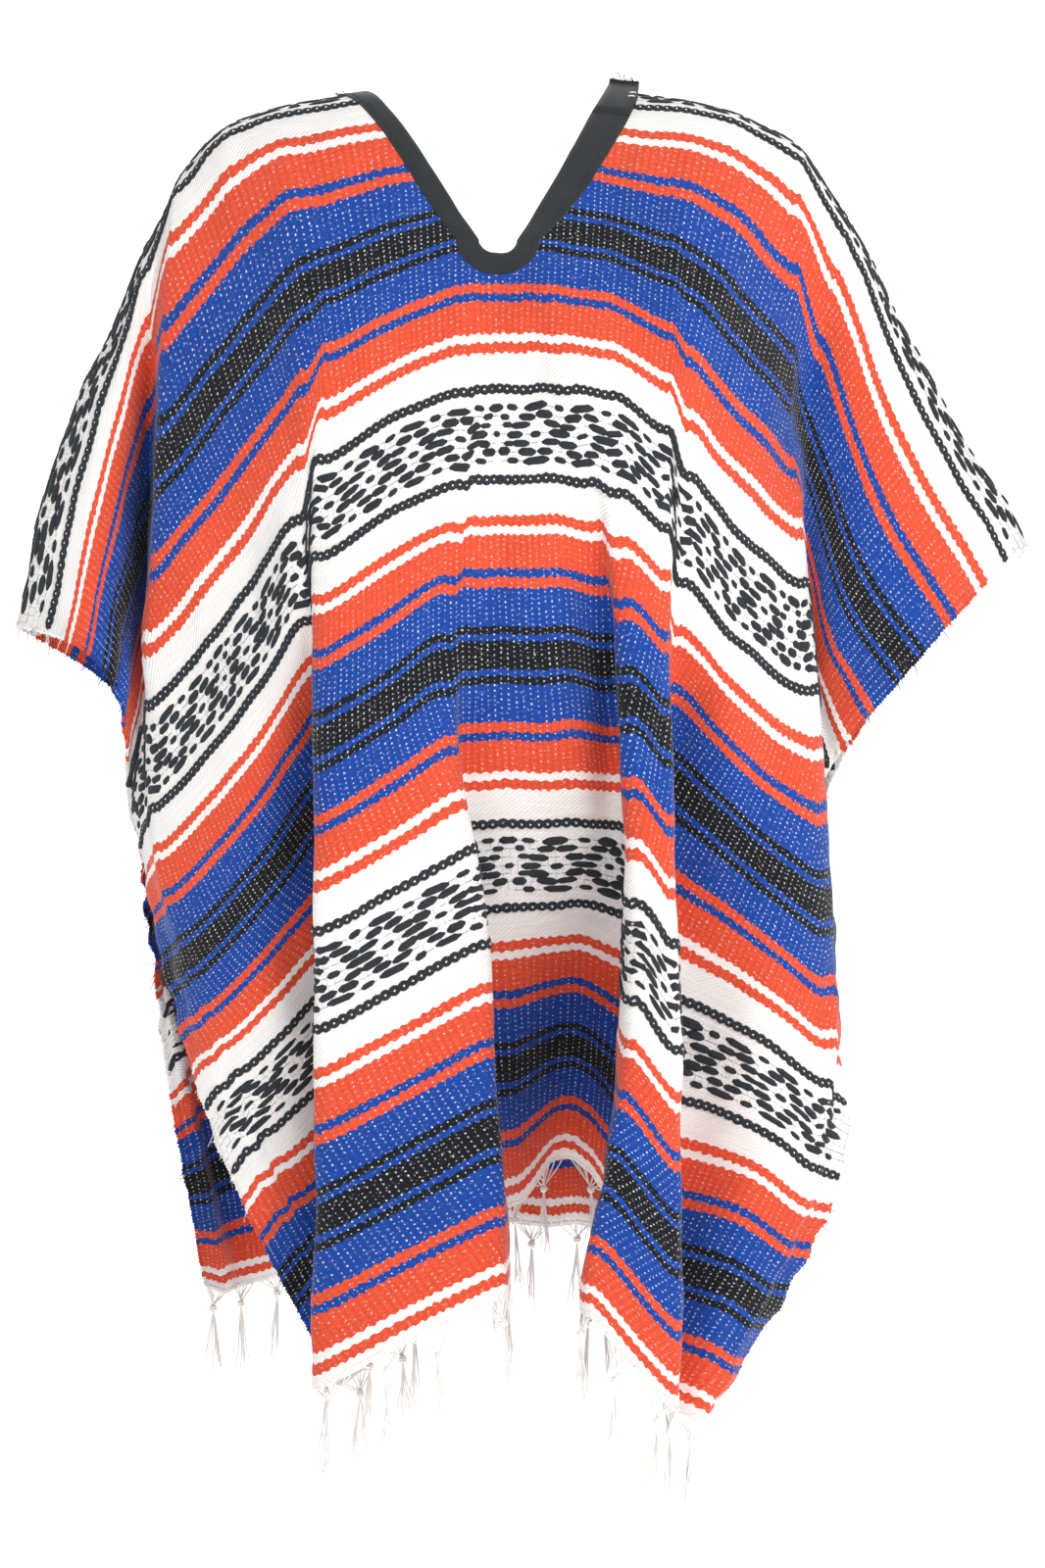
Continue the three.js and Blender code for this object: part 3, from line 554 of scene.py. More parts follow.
class Shader:
    """Builds a material's nodes with short calls."""

    def __init__(self, name, **surface):
        self.material = bpy.data.materials.new(name)
        self.material.use_nodes = True
        self.tree = self.material.node_tree
        self.surface = self.tree.nodes["Principled BSDF"]
        for key, value in surface.items():
            self.surface.inputs[key.replace("_", " ")].default_value = value

    def node(self, kind, inputs=None, **settings):
        made = self.tree.nodes.new(kind)
        for key, value in settings.items():
            setattr(made, key, value)
        for key, value in (inputs or {}).items():
            self.feed(made.inputs[key], value)
        return made

    def feed(self, socket, value):
        if isinstance(value, bpy.types.NodeSocket):
            self.tree.links.new(value, socket)
        else:
            socket.default_value = value

    def math(self, operation, *values, clamp=False):
        inputs = dict(enumerate(values))
        return self.node("ShaderNodeMath", inputs, operation=operation, use_clamp=clamp).outputs[0]

    def add(self, *values):
        return functools.reduce(lambda a, b: self.math("ADD", a, b), values)

    def times(self, *values):
        return functools.reduce(lambda a, b: self.math("MULTIPLY", a, b), values)

    def clamped(self, value):
        return self.math("MULTIPLY", value, 1.0, clamp=True)

    def scaled(self, value, factor, offset=0.0):
        return self.math("MULTIPLY_ADD", value, factor, offset)

    def ridges(self, angle):
        """Rounded ridges from 0 to 1, one for each half turn of the angle."""
        return self.math("ABSOLUTE", self.math("SINE", angle))

    def vector(self, x, y, z=0.0):
        return self.node("ShaderNodeCombineXYZ", {0: x, 1: y, 2: z}).outputs[0]

    def places(self):
        """u and v in millimetres."""
        uv = self.node("ShaderNodeUVMap", uv_map="Cloth").outputs[0]
        split = self.node("ShaderNodeSeparateXYZ", {0: uv})
        return self.scaled(split.outputs[0], 1 / MM), self.scaled(split.outputs[1], 1 / MM)

    def noise(self, u, v, across, down, detail=2.0, roughness=0.5):
        """Noise about 0 to 1, with wavelengths across and down the cloth in millimetres."""
        place = self.vector(self.scaled(u, 1 / across), self.scaled(v, 1 / down))
        return self.cloud(place, 1.0, detail, roughness)

    def cloud(self, place, scale, detail, roughness=0.5):
        inputs = {"Vector": place, "Scale": scale, "Detail": detail, "Roughness": roughness}
        return self.node("ShaderNodeTexNoise", inputs).outputs[0]

    def random(self, x, y=0.0):
        return self.node("ShaderNodeTexWhiteNoise", {"Vector": self.vector(x, y)}).outputs[0]

    def step(self, value, low, high):
        """0 at low and 1 at high, smooth in between."""
        inputs = {"Value": value, "From Min": low, "From Max": high}
        return self.node("ShaderNodeMapRange", inputs, interpolation_type="SMOOTHSTEP").outputs[0]

    def mix(self, factor, a, b, blend="MIX"):
        made = self.node("ShaderNodeMix", data_type="RGBA", blend_type=blend)
        for i, value in ((0, factor), (6, a), (7, b)):
            self.feed(made.inputs[i], value)
        return made.outputs[2]

    def bands(self, value, stops):
        """The colour and alpha of the last stop before the value."""
        made = self.node("ShaderNodeValToRGB", {0: value})
        ramp = made.color_ramp
        ramp.interpolation = "CONSTANT"
        while len(ramp.elements) < len(stops):
            ramp.elements.new(1.0)
        for element, (position, colour) in zip(ramp.elements, stops):
            element.position = position
            element.color = colour
        return made.outputs

    def finish(self, colour, height, strength, distance):
        """Gives the surface its colour and its bumps, distance metres high at most."""
        inputs = {"Strength": strength, "Distance": distance, "Height": height}
        bump = self.node("ShaderNodeBump", inputs)
        self.feed(self.surface.inputs["Base Color"], colour)
        self.feed(self.surface.inputs["Normal"], bump.outputs[0])
        return self.material


BLUE, RED, BLACK, WHITE = "#1f4aa2", "#e9573a", "#1e2125", "#f6f3f0"

# Stripes from the middle of a diamond band to the middle of the black stripe between two
# bands: where each starts, its yarn, and how strongly the white warp shows through it
STRIPES = [
    (0.0, WHITE, 0.0),
    (65.0, RED, 0.15),
    (73.0, WHITE, 0.0),
    (80.0, RED, 0.3),
    (107.0, BLUE, 0.5),
    (114.0, RED, 0.25),
    (122.0, BLUE, 0.8),
    (152.0, BLACK, 0.9),
    (158.5, BLUE, 0.7),
    (164.0, BLACK, 0.95),
]
FLOAT_ROW = 7.2  # pitch of the rows of floats in a diamond band
WARP_PITCH = 6.2  # columns in which the warp shows
PICK_PITCH = 4.1  # rows in which it shows
TWILL = (4.4, 3.6)  # pitch of the faint twill across and down
TAPE_TWILL = (0.9, 1.5)


def net_lines(s, u, v):
    """Where the thin runs of black weft and the ties between them show in a diamond band."""
    away = s.math("PINGPONG", v, HALF_REPEAT)
    row = s.math("PINGPONG", away, FLOAT_ROW / 2)
    slip = s.random(s.math("FLOOR", s.scaled(away, 1 / FLOAT_ROW)))
    tie = s.math("PINGPONG", s.add(u, s.scaled(slip, 9.0)), 3.2)
    broken = s.noise(u, v, 5.0, 4.0, 1.0)
    runs = s.times(s.step(row, 0.75, 0.3), s.step(broken, 0.4, 0.55))
    ties = s.times(s.step(tie, 0.55, 0.2), s.step(broken, 0.56, 0.5))
    inside = s.step(away, 3.4 * FLOAT_ROW, 3.1 * FLOAT_ROW)
    return s.times(s.math("MAXIMUM", runs, s.scaled(ties, 0.6)), inside)


def striped(s, u, v, drift):
    """The yarn's colour and how strongly the warp shows, with edges that wander a little."""
    slow = s.noise(u, v, 95, 70, 1.0)
    wave = s.math("SINE", s.add(s.scaled(u, 2 * math.pi / 8.2), s.scaled(drift, 14.0)))
    ragged = s.noise(u, v, 3.4, 8.0)
    edge = s.add(s.scaled(slow, 4.2, -2.1), s.scaled(wave, 0.75), s.scaled(ragged, 3.0, -1.5))
    place = s.math("PINGPONG", s.add(v, edge), HALF_REPEAT)
    stops = [(start / HALF_REPEAT, linear(yarn, warp)) for start, yarn, warp in STRIPES]
    return s.bands(s.math("DIVIDE", place, HALF_REPEAT), stops)


def woven(s, u, v):
    """Counts of the warp columns and of the picks up to a place, a little uneven."""
    wander = s.noise(u, v, 30, 120, 1.0)
    column = s.math("DIVIDE", s.add(u, s.scaled(wander, 6.0)), WARP_PITCH)
    beat = s.noise(u, v, 26, 9.0, 1.0)
    start = s.random(s.math("FLOOR", column))
    return column, s.add(s.math("DIVIDE", v, PICK_PITCH), start, s.scaled(beat, 0.9))


def warp_showing(s, column, pick, showing):
    """Dots of white warp between the picks, more and clearer where it shows strongly."""
    counts = s.math("FLOOR", column), s.math("FLOOR", pick)
    x = s.scaled(s.math("FRACT", column), WARP_PITCH, -WARP_PITCH / 2)
    y = s.scaled(s.math("FRACT", pick), PICK_PITCH, -PICK_PITCH / 2)
    luck = s.random(*counts)
    apart = s.math("SQRT", s.add(s.times(x, x), s.times(y, y)))
    dot = s.step(s.math("DIVIDE", apart, s.scaled(luck, 0.5, 0.42)), 1.25, 0.55)
    chosen = s.step(s.math("SUBTRACT", showing, s.math("POWER", luck, 1.6)), -0.05, 0.12)
    return s.times(dot, chosen, s.scaled(s.random(*counts[::-1]), 0.5, 0.55))


def cloth_material(name):
    """Striped weft with white warp dots, ribbed, with the uneven shades of handspun yarn and painted shade in
    the hollows between the ribs.
    """
    s = Shader(name, Roughness=0.95, Specular_IOR_Level=0.12, Sheen_Weight=0.18, Sheen_Roughness=0.45)
    u, v = s.places()
    drift = s.noise(u, v, 55, 22, 1.0)
    yarn, showing = striped(s, u, v, drift)
    column, pick = woven(s, u, v)
    dot = warp_showing(s, column, pick, showing)

    # Ribs of the weft between the warp columns, and a faint twill on the white ground
    pillow = s.math("POWER", s.ridges(s.scaled(column, math.pi)), 0.6)
    ribs = s.times(s.scaled(s.ridges(s.scaled(pick, math.pi)), 0.6, 0.4), pillow)
    slant = s.add(s.scaled(u, math.pi / TWILL[0]), s.scaled(v, math.pi / TWILL[1]))
    twill = s.ridges(s.add(slant, s.scaled(drift, 3.0)))
    plain = s.step(showing, 0.05, 0.02)
    ribbed = s.math("SUBTRACT", 1.0, plain)
    fibres = s.noise(u, v, 2.2, 0.9, 3.0, 0.65)
    height = s.add(s.times(ribs, ribbed), s.times(twill, plain))
    height = s.add(height, s.scaled(fibres, 0.55), s.scaled(dot, 0.5))

    # Yarn shades: each pick and each stretch of it differs a little
    streak = s.noise(u, v, 45, 1.7)
    patch = s.noise(u, v, 60, 60)
    shade = s.add(s.scaled(streak, 0.34, 0.83), s.scaled(patch, 0.16, -0.08))
    shade = s.times(shade, s.scaled(fibres, 0.3, 0.85))
    tint = s.mix(1.0, yarn, s.vector(shade, shade, shade), "MULTIPLY")
    # Painted shade: the hollows between the weft ribs are darkened with a grey-blue tint
    painted_hollow_shade = s.times(s.math("SUBTRACT", 1.0, ribs), ribbed)
    tint = s.mix(s.scaled(painted_hollow_shade, 0.35), tint, s.mix(1.0, tint, linear("#9a96a8"), "MULTIPLY"))
    tint = s.mix(s.scaled(net_lines(s, u, v), 0.62), tint, linear("#4a4e55"))
    lint = s.step(s.noise(u, v, 2.6, 2.2, 2.0, 0.6), 0.62, 0.73)
    white = s.math("MAXIMUM", dot, s.times(lint, s.scaled(fibres, 0.9)))
    colour = s.mix(s.clamped(white), tint, linear("#eeebe6"))
    return s.finish(colour, height, 0.55, 0.0009)


def yarn_material(name, colour, other, ply=2.4):
    """Plied yarn: fine slanted twist, with fibre-level shade. ply is the twist's pitch."""
    s = Shader(name, Roughness=0.92, Specular_IOR_Level=0.15, Sheen_Weight=0.15, Sheen_Roughness=0.4)
    place = s.node("ShaderNodeTexCoord").outputs["Object"]
    split = s.node("ShaderNodeSeparateXYZ", {0: place})
    x, y, z = (s.scaled(split.outputs[i], 1 / MM) for i in range(3))
    twist = s.ridges(s.scaled(s.add(x, y, s.scaled(z, 0.8)), math.pi / ply))
    fibres = s.cloud(place, 900.0, 3.0)
    patch = s.cloud(place, 60.0, 2.0)
    amount = s.clamped(s.add(s.scaled(fibres, 0.7, -0.1), s.scaled(patch, 0.5, -0.1)))
    tint = s.mix(amount, linear(colour), linear(other))
    return s.finish(tint, s.add(s.scaled(twist, 0.6), fibres), 0.5, 0.0004)


def tape_material():
    """Charcoal twill tape: fine diagonal ribs and a little lint."""
    s = Shader("neck_tape", Roughness=0.88, Specular_IOR_Level=0.2, Sheen_Weight=0.25, Sheen_Roughness=0.5)
    u, v = s.places()
    ribs = s.ridges(s.add(s.scaled(u, math.pi / TAPE_TWILL[0]), s.scaled(v, math.pi / TAPE_TWILL[1])))
    lint = s.noise(u, v, 1.3, 1.3, 3.0, 0.7)
    cloud = s.noise(u, v, 22, 22)
    shade = s.clamped(s.add(s.scaled(ribs, 0.25, 0.1), s.scaled(cloud, 0.6)))
    tint = s.mix(shade, linear("#1c1e20"), linear("#34373a"))
    tint = s.mix(s.scaled(s.step(lint, 0.66, 0.74), 0.35), tint, linear("#8b8d90"))
    return s.finish(tint, s.add(ribs, s.scaled(lint, 0.5)), 0.4, 0.0003)


# --- woven ornaments

# The sizes across the cloth are about 1.3 times those of the real weave, because the
# modelled folds hold that much less cloth than the flat panel has.
BAND_CENTRES = (0.0, REPEAT, 2 * REPEAT)
ROPE_AWAY = 36.3  # from the middle of a diamond band to each black rope
ROPE_PITCH = 7.6
ROPE_SWING, ROPE_DEPTH = 2.6, 0.4  # how far the two yarns swing across and through
ROPE_YARN, ROPE_TALL = 2.35, 1.35
# Unevenness of the ropes in their swing, twist and place: (amount, wavelength)
ROPE_SWINGS, ROPE_TWISTS, ROPE_DRIFTS = (0.35, 23), (0.5, 60), (0.9, 90)
DOT_LIFTS = np.array([-3.0, -2.6, 2.6, 3.0])  # of a white dot's points through the cloth
DOT_RADII = np.array([0.5, 0.95, 0.95, 0.5])
FLOAT_REPEAT = 47.3
LOZENGE_PITCH = 411.0
LOZENGE_REACH = 40.0  # from the middle of a lozenge to the first crossing of the diamonds
LOZENGE_HALF = 9.8
ROPE_UNDER, FLOAT_UNDER = 6.0, 8.0  # how far they run on below the tape

# Rows of floats out from the middle of the band: (place in the repeat, length) of each
FLOAT_ROWS = {
    0: [(-0.5, 22.0), (0.0, 10.0)],
    1: [(-0.33, 16.5), (0.33, 16.5)],
    2: [(-0.185, 15.5), (0.185, 15.5)],
    3: [(-0.5, 10.0), (0.0, 22.0)],
}
# The narrow lozenge at which the pattern turns round: (across, row, length)
LOZENGE = [
    (0, -3, 15), (-8.5, -2, 9), (9, -2, 8), (-11, -1, 9), (12, -1, 9), (-18.5, 0, 16), (18.5, 0, 16),
    (0.7, 0, 6.5), (-13, 1, 12), (13, 1, 10.5), (-8, 2, 12), (8, 2, 12), (0, 3, 18),
]
# Rings of a float from one tip to the other: (share of its half length, share of its girth)
FLOAT_RINGS = [(-0.9, 0.5), (-0.5, 0.98), (0.5, 0.98), (0.9, 0.5)]
FLOAT_SIDES = 6
FLOAT_HEIGHT, FLOAT_THICKNESS, FLOAT_STRETCH = 8.8, 6.4, 1.2
SHORT_FLOAT, SHORT_HEIGHT = 11.0, 0.78  # floats shorter than this are that much lower


def neck_reach(u, v):
    """How far from the middle the tape covers the cloth at this height."""
    if abs(v) > NECK_STRAIGHT:
        return 0.0
    return neck_half_width("right" if u >= 0 else "left", "tape", abs(v))


def rope_heights(face):
    """Where on v the black ropes of one face run."""
    heights = [centre + away for centre in BAND_CENTRES for away in (-ROPE_AWAY, ROPE_AWAY)]
    return [sign_of(face) * v for v in heights if v > 0]


def ropes(cloth, face):
    """Two black yarns twined round the white warp, with a dot of warp in each twist."""
    made = Pieces()
    dots = []
    random = draws(21, face)

    def uneven(amount, wave):
        return amount * ripples(u, v, wave, 100, random.randint(999))

    for v in rope_heights(face):
        for side in (-1, 1):
            start = max(0.0, neck_reach(side, v) - ROPE_UNDER)
            across = np.arange(start, HALF_WIDTH - 1, ROPE_PITCH / 4)
            u = side * across
            swing = ROPE_SWING + uneven(*ROPE_SWINGS)
            phase = math.pi * across / ROPE_PITCH + uneven(*ROPE_TWISTS)
            drift = uneven(*ROPE_DRIFTS)
            for sign in (1, -1):
                down = v + drift + sign * swing * np.sin(phase)
                path, facing = cloth.on(u, down, sign * ROPE_DEPTH * np.cos(phase))
                made.tube(path, facing, ROPE_YARN, pairs(u, down), tall=ROPE_TALL)
            eyes = np.arange(phase[0] // math.pi + 1.5, phase[-1] / math.pi) * math.pi
            at = side * np.interp(eyes, phase, across)
            dots.append(pairs(at, v + np.interp(eyes, phase, drift)))
    return made, np.concatenate(dots)


def warp_dots(cloth, places):
    """The white warp that shows between the yarns of the ropes, outside and inside."""
    made = Pieces()
    uv = np.repeat(places[:, None], len(DOT_LIFTS), axis=1)
    paths, _ = cloth.on(uv[..., 0], uv[..., 1], DOT_LIFTS)
    made.tubes(paths, (1.0, 0.0, 0.0), DOT_RADII, uv, sides=5)
    return made


def row_of_floats(row):
    """(across, length) of every float in one row of a band."""
    floats = []
    for share, length in FLOAT_ROWS[abs(row)]:
        for lozenge in (0.0, LOZENGE_PITCH):
            for repeat in range(round(LOZENGE_PITCH / FLOAT_REPEAT)):
                away = LOZENGE_REACH + (repeat + share) * FLOAT_REPEAT
                near = min(away, abs(LOZENGE_PITCH - away))
                across = lozenge + away
                if near - length / 2 >= LOZENGE_HALF and across + length / 2 <= HALF_WIDTH - 3:
                    floats += [(across, length), (-across, length)]
    for middle in (-LOZENGE_PITCH, 0.0, LOZENGE_PITCH):
        floats += [(middle + across, length) for across, at, length in LOZENGE if at == row]
    return floats


def float_places(face):
    """(across, down, length) of every float of one face that the tape leaves in sight."""
    places = []
    for centre in BAND_CENTRES:
        for row in range(-3, 4):
            down = centre + row * FLOAT_ROW
            if down < 0 or (down == 0 and face == "back"):
                continue
            v = sign_of(face) * down
            places += [(across, v, length) for across, length in row_of_floats(row)]
    return [p for p in places if abs(p[0]) - p[2] / 2 > neck_reach(*p[:2]) - FLOAT_UNDER]


def float_form():
    """One float: its points, (along, up, out) from -1 to 1, and its faces."""
    angle = 2 * math.pi * (np.arange(FLOAT_SIDES) + 0.5) / FLOAT_SIDES
    points = [(-1.0, 0.0, 0.0)]
    for x, r in FLOAT_RINGS:
        points += [(x, r * math.sin(a), r * math.cos(a)) for a in angle]
    points.append((1.0, 0.0, 0.0))
    last = len(points) - 1
    around = [(k, (k + 1) % FLOAT_SIDES) for k in range(FLOAT_SIDES)]
    faces = [[0, 1 + m, 1 + k] for k, m in around]
    faces += [[1 + i for i in quad] for quad in ring_quads(len(FLOAT_RINGS), FLOAT_SIDES)]
    faces += [[last, last - FLOAT_SIDES + k, last - FLOAT_SIDES + m] for k, m in around]
    return np.array(points).T, faces


def floats(cloth, face):
    """Black weft floats: thick soft dashes that lie over the white ground."""
    made = Pieces()
    random = draws(31, face)
    places = np.array(float_places(face))
    count = len(places)
    stretch = FLOAT_STRETCH * random.uniform(0.9, 1.1, (count, 1))
    tall = FLOAT_HEIGHT * random.uniform(0.82, 1.1, (count, 1))
    tall *= np.where(places[:, 2:] < SHORT_FLOAT, SHORT_HEIGHT, 1.0)
    tilt = random.uniform(-0.08, 0.08, (count, 1))
    shift = random.uniform(-0.7, 0.7, (count, 2))
    (x, y, z), faces = float_form()
    half = places[:, 2:] / 2 * stretch
    u = places[:, :1] + shift[:, :1] + x * half
    v = places[:, 1:2] + shift[:, 1:] + y * tall / 2 + x * half * tilt
    co, _ = cloth.on(u, v, z * FLOAT_THICKNESS / 2)
    if face == "front":
        faces = [corners[::-1] for corners in faces]
    for points, uv in zip(co, pairs(u, v)):
        made.add(points, faces, uv)
    return made


# --- edges

LOOP_PITCH = 3.6
LOOP_POINTS = np.array([(-2.0, -1.5), (0.6, -1.35), (1.7, 0.0), (0.6, 1.35), (-2.0, 1.5)])
LOOSE_ENDS = 520
HEM_PICKS = [(-1.5, 1.75, 51), (0.6, 1.35, 52)]  # (past the hem, radius, seed)
GROUP_PITCH = 47.0
STRANDS = 8
DOWN = np.array([0.0, 0.0, -1.0])

# The knot of a group of strands: the yarn wound round it, and the radii of the lump inside
KNOT_TURNS, KNOT_YARN, KNOT_REACH = 2.4, 1.15, 2.0
KNOT_LUMP = np.array([0.6, 1.7, 2.3, 2.5, 2.4, 1.9, 0.8])


def selvage_loops(cloth):
    """Turns of the weft round the last warp at each selvage, a little ragged."""
    made = Pieces()
    random = draws(41)
    middles = np.arange(-DROP + 2, DROP - 1, LOOP_PITCH)[:, None]

    def vary(low, high):
        return random.uniform(low, high, middles.shape)

    for side in (-1, 1):
        reach, slip = vary(0.6, 1.5), vary(-0.5, 0.5)
        u = side * (HALF_WIDTH + LOOP_POINTS[:, 0] * reach)
        v = middles + LOOP_POINTS[:, 1] * vary(0.85, 1.25) + slip
        paths, facing = cloth.on(u, v, vary(-0.5, 0.5))
        uv = pairs(np.clip(u, -HALF_WIDTH, HALF_WIDTH), middles)
        made.tubes(paths, facing, vary(0.95, 1.35), uv, sides=5)
    return made


def loose_ends(cloth):
    """Short ends of weft that stick out of the selvages, in the colour of their stripe."""
    made = Pieces()
    random = draws(43)
    many = (LOOSE_ENDS, 1)
    side = random.choice([-1, 1], many)
    v = random.uniform(-DROP + 5, DROP - 5, many)
    share = np.linspace(0, 1, 7)
    length = random.uniform(2, 5, many) + 8 * random.uniform(0, 1, many) ** 4
    u = side * (HALF_WIDTH - 2 + share * length)
    bend = random.uniform(-5, 5, many) * share**2
    lift = random.uniform(-3, 3, many) * share**2
    paths, facing = cloth.on(u, v + bend, lift)
    paths[..., 2] -= 0.25 * share**2 * length
    made.tubes(paths, facing, 0.42 * (1.1 - 0.6 * share), pairs(side * HALF_WIDTH, v), sides=4)
    return made


def hem_edges(cloth):
    """The last picks of each hem, packed down and looped through by the warp."""
    made = Pieces()
    u = np.arange(-HALF_WIDTH + 1, HALF_WIDTH, 2.7)
    for sign in (-1, 1):
        for past, radius, seed in HEM_PICKS:
            down = DROP + past
            uneven = 0.12 * ripples(u, down, 9, 9, seed)
            bumps = radius * (1 + 0.22 * np.sin(math.pi * u / 2.65) + uneven)
            v = sign * (down + 0.5 * ripples(u, 0.0, 17, 9, seed + 2))
            path, facing = cloth.on(u, v)
            made.tube(path, facing, bumps, pairs(u, v))
    return made


def fringe(cloth, face):
    """Warp ends gathered in knots, each with a loose tassel below."""
    made = Pieces()
    sign = sign_of(face)
    random = draws(61, face)
    for middle in np.arange(-HALF_WIDTH + 16, HALF_WIDTH - 10, GROUP_PITCH):
        middle += random.uniform(-5, 5)
        root, facing = cloth.on(middle, sign * DROP)
        before, _ = cloth.on(middle, sign * (DROP - 30))
        run = unit(root - before)
        lean = np.array([random.uniform(-0.14, 0.14), 0, 0]) + facing * random.uniform(-0.1, 0.12)
        hang = unit(run * 0.45 + DOWN + lean)
        drop = random.uniform(13, 22)
        knot = root + hang * drop
        gather_strands(made, cloth, random, middle, sign, knot, hang, facing)
        tie_knot(made, random, knot, hang, facing)
        tassel(made, random, knot, unit(hang * 0.35 + DOWN), facing, FRINGE - drop)
    return made


def gather_strands(made, cloth, random, middle, sign, knot, hang, facing):
    """Strands from the hem round the middle of a group to its knot."""
    share = np.linspace(0, 1, 8)[:, None]
    paths = []
    for spread in np.linspace(-20, 20, STRANDS) + random.uniform(-2, 2, STRANDS):
        at = np.clip(middle + spread, -HALF_WIDTH + 2, HALF_WIDTH - 2)
        start, _ = cloth.on(at, sign * (DROP - 3))
        edge, _ = cloth.on(at, sign * DROP)
        out = unit(edge - start) * random.uniform(14, 30) + facing * random.uniform(-5, 9)
        end = knot + random.uniform(-1, 1, 3)
        paths.append(between(start, out, end, hang * random.uniform(10, 22), share))
    made.tubes(paths, facing, 0.65, sides=5)


def tie_knot(made, random, knot, hang, facing):
    """The strands wound twice about themselves, and the lump that they make inside."""
    side = unit(np.cross(hang, facing))
    front = np.cross(side, hang)
    turn = np.linspace(0, KNOT_TURNS * 2 * math.pi, 26)
    reach = KNOT_REACH + 0.5 * np.sin(turn / KNOT_TURNS / 2)
    angle = turn + random.uniform(0, 2 * math.pi)
    across, through = reach * np.cos(angle), 0.85 * reach * np.sin(angle)
    along = np.linspace(-1.9, 2.4, len(turn))
    path = knot + np.outer(along, hang) + np.outer(across, side) + np.outer(through, front)
    made.tube(path, hang, KNOT_YARN)
    core = knot + np.outer(np.linspace(-3.4, 3.8, len(KNOT_LUMP)), hang)
    made.tube(core, facing, KNOT_LUMP, sides=7)


def tassel(made, random, knot, hang, facing, reach):
    """Loose strands that fan out and sway below a knot."""
    side = unit(np.cross(hang, facing))
    share = np.linspace(0, 1, 13)
    paths = []
    for _ in range(STRANDS - 1):
        length = reach * random.uniform(0.72, 1.0)
        fan = side * random.uniform(-0.13, 0.13) + facing * random.uniform(-0.1, 0.1)
        swing = random.uniform(-2.6, 2.6)
        sway = swing * np.sin(share * math.pi * random.uniform(0.8, 1.9) + random.uniform(0, 6))
        shake = random.uniform(-1.8, 1.8) * np.sin(share * math.pi * random.uniform(1.0, 2.4))
        path = knot + np.outer(length * share, hang + fan)
        path += np.outer((sway - sway[0]) * share**0.5, side) + np.outer(shake * share, facing)
        paths.append(path)
    made.tubes(paths, facing, 0.62 * (1 - 0.25 * share**4), sides=5)


# --- neck binding

TAPE_STATION = 4.0  # spacing of the tape's sections
TAPE_INNER = CLOTH / 2 + TAPE_GAP
TAPE_OUTER = TAPE_INNER + TAPE
STITCH_LINE = 0.17  # where the seam's groove is, as a share of the tape's width
STITCH_STEP, STITCH = 3.9, 3.1

# The tape's section: (share of the way from its own edge to the cut edge, past the cut
# edge, height off the middle of the cloth). The second half goes back on the inner face.
TAPE_HALF = [
    (0.0, 0.0, TAPE_INNER),
    (0.0, 0.0, TAPE_INNER + TAPE * 0.6),
    (0.035, 0.0, TAPE_OUTER - 0.1),
    (0.12, 0.0, TAPE_OUTER),
    (STITCH_LINE, 0.0, TAPE_OUTER - 0.4),
    (0.22, 0.0, TAPE_OUTER + 0.1),
    (0.5, 0.0, TAPE_OUTER + 0.35),
    (0.8, 0.0, TAPE_OUTER + 0.3),
    (1.0, 0.2, TAPE_OUTER),
    (1.0, 1.1, TAPE_OUTER * 0.62),
    (1.0, 1.55, 0.0),
]

# The lapped end: (down the front, height over the tape, rise above the shoulder)
LAP_ROWS = [
    (52.0, -0.3, 0.0), (42.0, 0.0, 0.0), (30.0, 0.3, 0.0), (18.0, 0.6, 0.0), (9.0, 1.2, 0.2),
    (3.0, 2.0, 0.8), (0.0, 3.0, 1.6), (0.0, 3.4, 3.0), (0.0, 2.6, 4.4), (0.0, 1.3, 5.0),
]
LAP_LIFT = TAPE_OUTER + 1.2  # of the lapped end's middle over the middle of the cloth
LAP_HALF = 0.5  # half its thickness
BAR_TACKS = (17.0, 25.0)  # how far down the front they are
TIP_FRAYS, SHOULDER_FRAYS = (-0.3, -0.35, 0.5), (-0.9, -0.1, 0.1)  # the ways they point
FRAYS = 12  # at each end


def neck_path(face):
    """The cut edge and the tape's edge on the flat cloth, from the left shoulder down
    the opening and up to the right shoulder."""
    straight = np.linspace(0, NECK_STRAIGHT, round(NECK_STRAIGHT / TAPE_STATION), endpoint=False)
    edges = []
    for edge, foot in (("cut", NECK_FOOT), ("tape", TAPE_FOOT)):
        path = [(-neck_half_width("left", edge, down), down) for down in straight]
        for angle in np.linspace(0, math.pi, 17):
            reach = NECK["left" if angle < math.pi / 2 else "right"][edge][1]
            down = NECK_STRAIGHT + (foot - NECK_STRAIGHT) * math.sin(angle)
            path.append((-reach * math.cos(angle), down))
        path += [(neck_half_width("right", edge, down), down) for down in straight[::-1]]
        edges.append(np.array(path))
    if face == "back":
        return [path[-2:0:-1] * (1, -1) for path in edges]
    return edges


def tape_stations(cloth):
    """Points and facings at the cut edge and at the tape's edge all round the neck, the way
    from the tape's edge past the cut, and how far along the tape each is."""
    cut, tape = (np.concatenate(both) for both in zip(neck_path("front"), neck_path("back")))
    edge, edge_facing = cloth.on(*cut.T)
    outer, outer_facing = cloth.on(*tape.T)
    return edge, edge_facing, outer, outer_facing, unit(edge - outer), lengths_along(outer)


def tape_point(stations, share, past, height):
    """Points of the tape, at a share of the way in from its own edge, then past the cut
    edge, at a height over the middle of the cloth."""
    edge, edge_facing, outer, outer_facing, way, _ = stations
    facing = unit(outer_facing * (1 - share) + edge_facing * share)
    return outer * (1 - share) + edge * share + way * past + facing * height


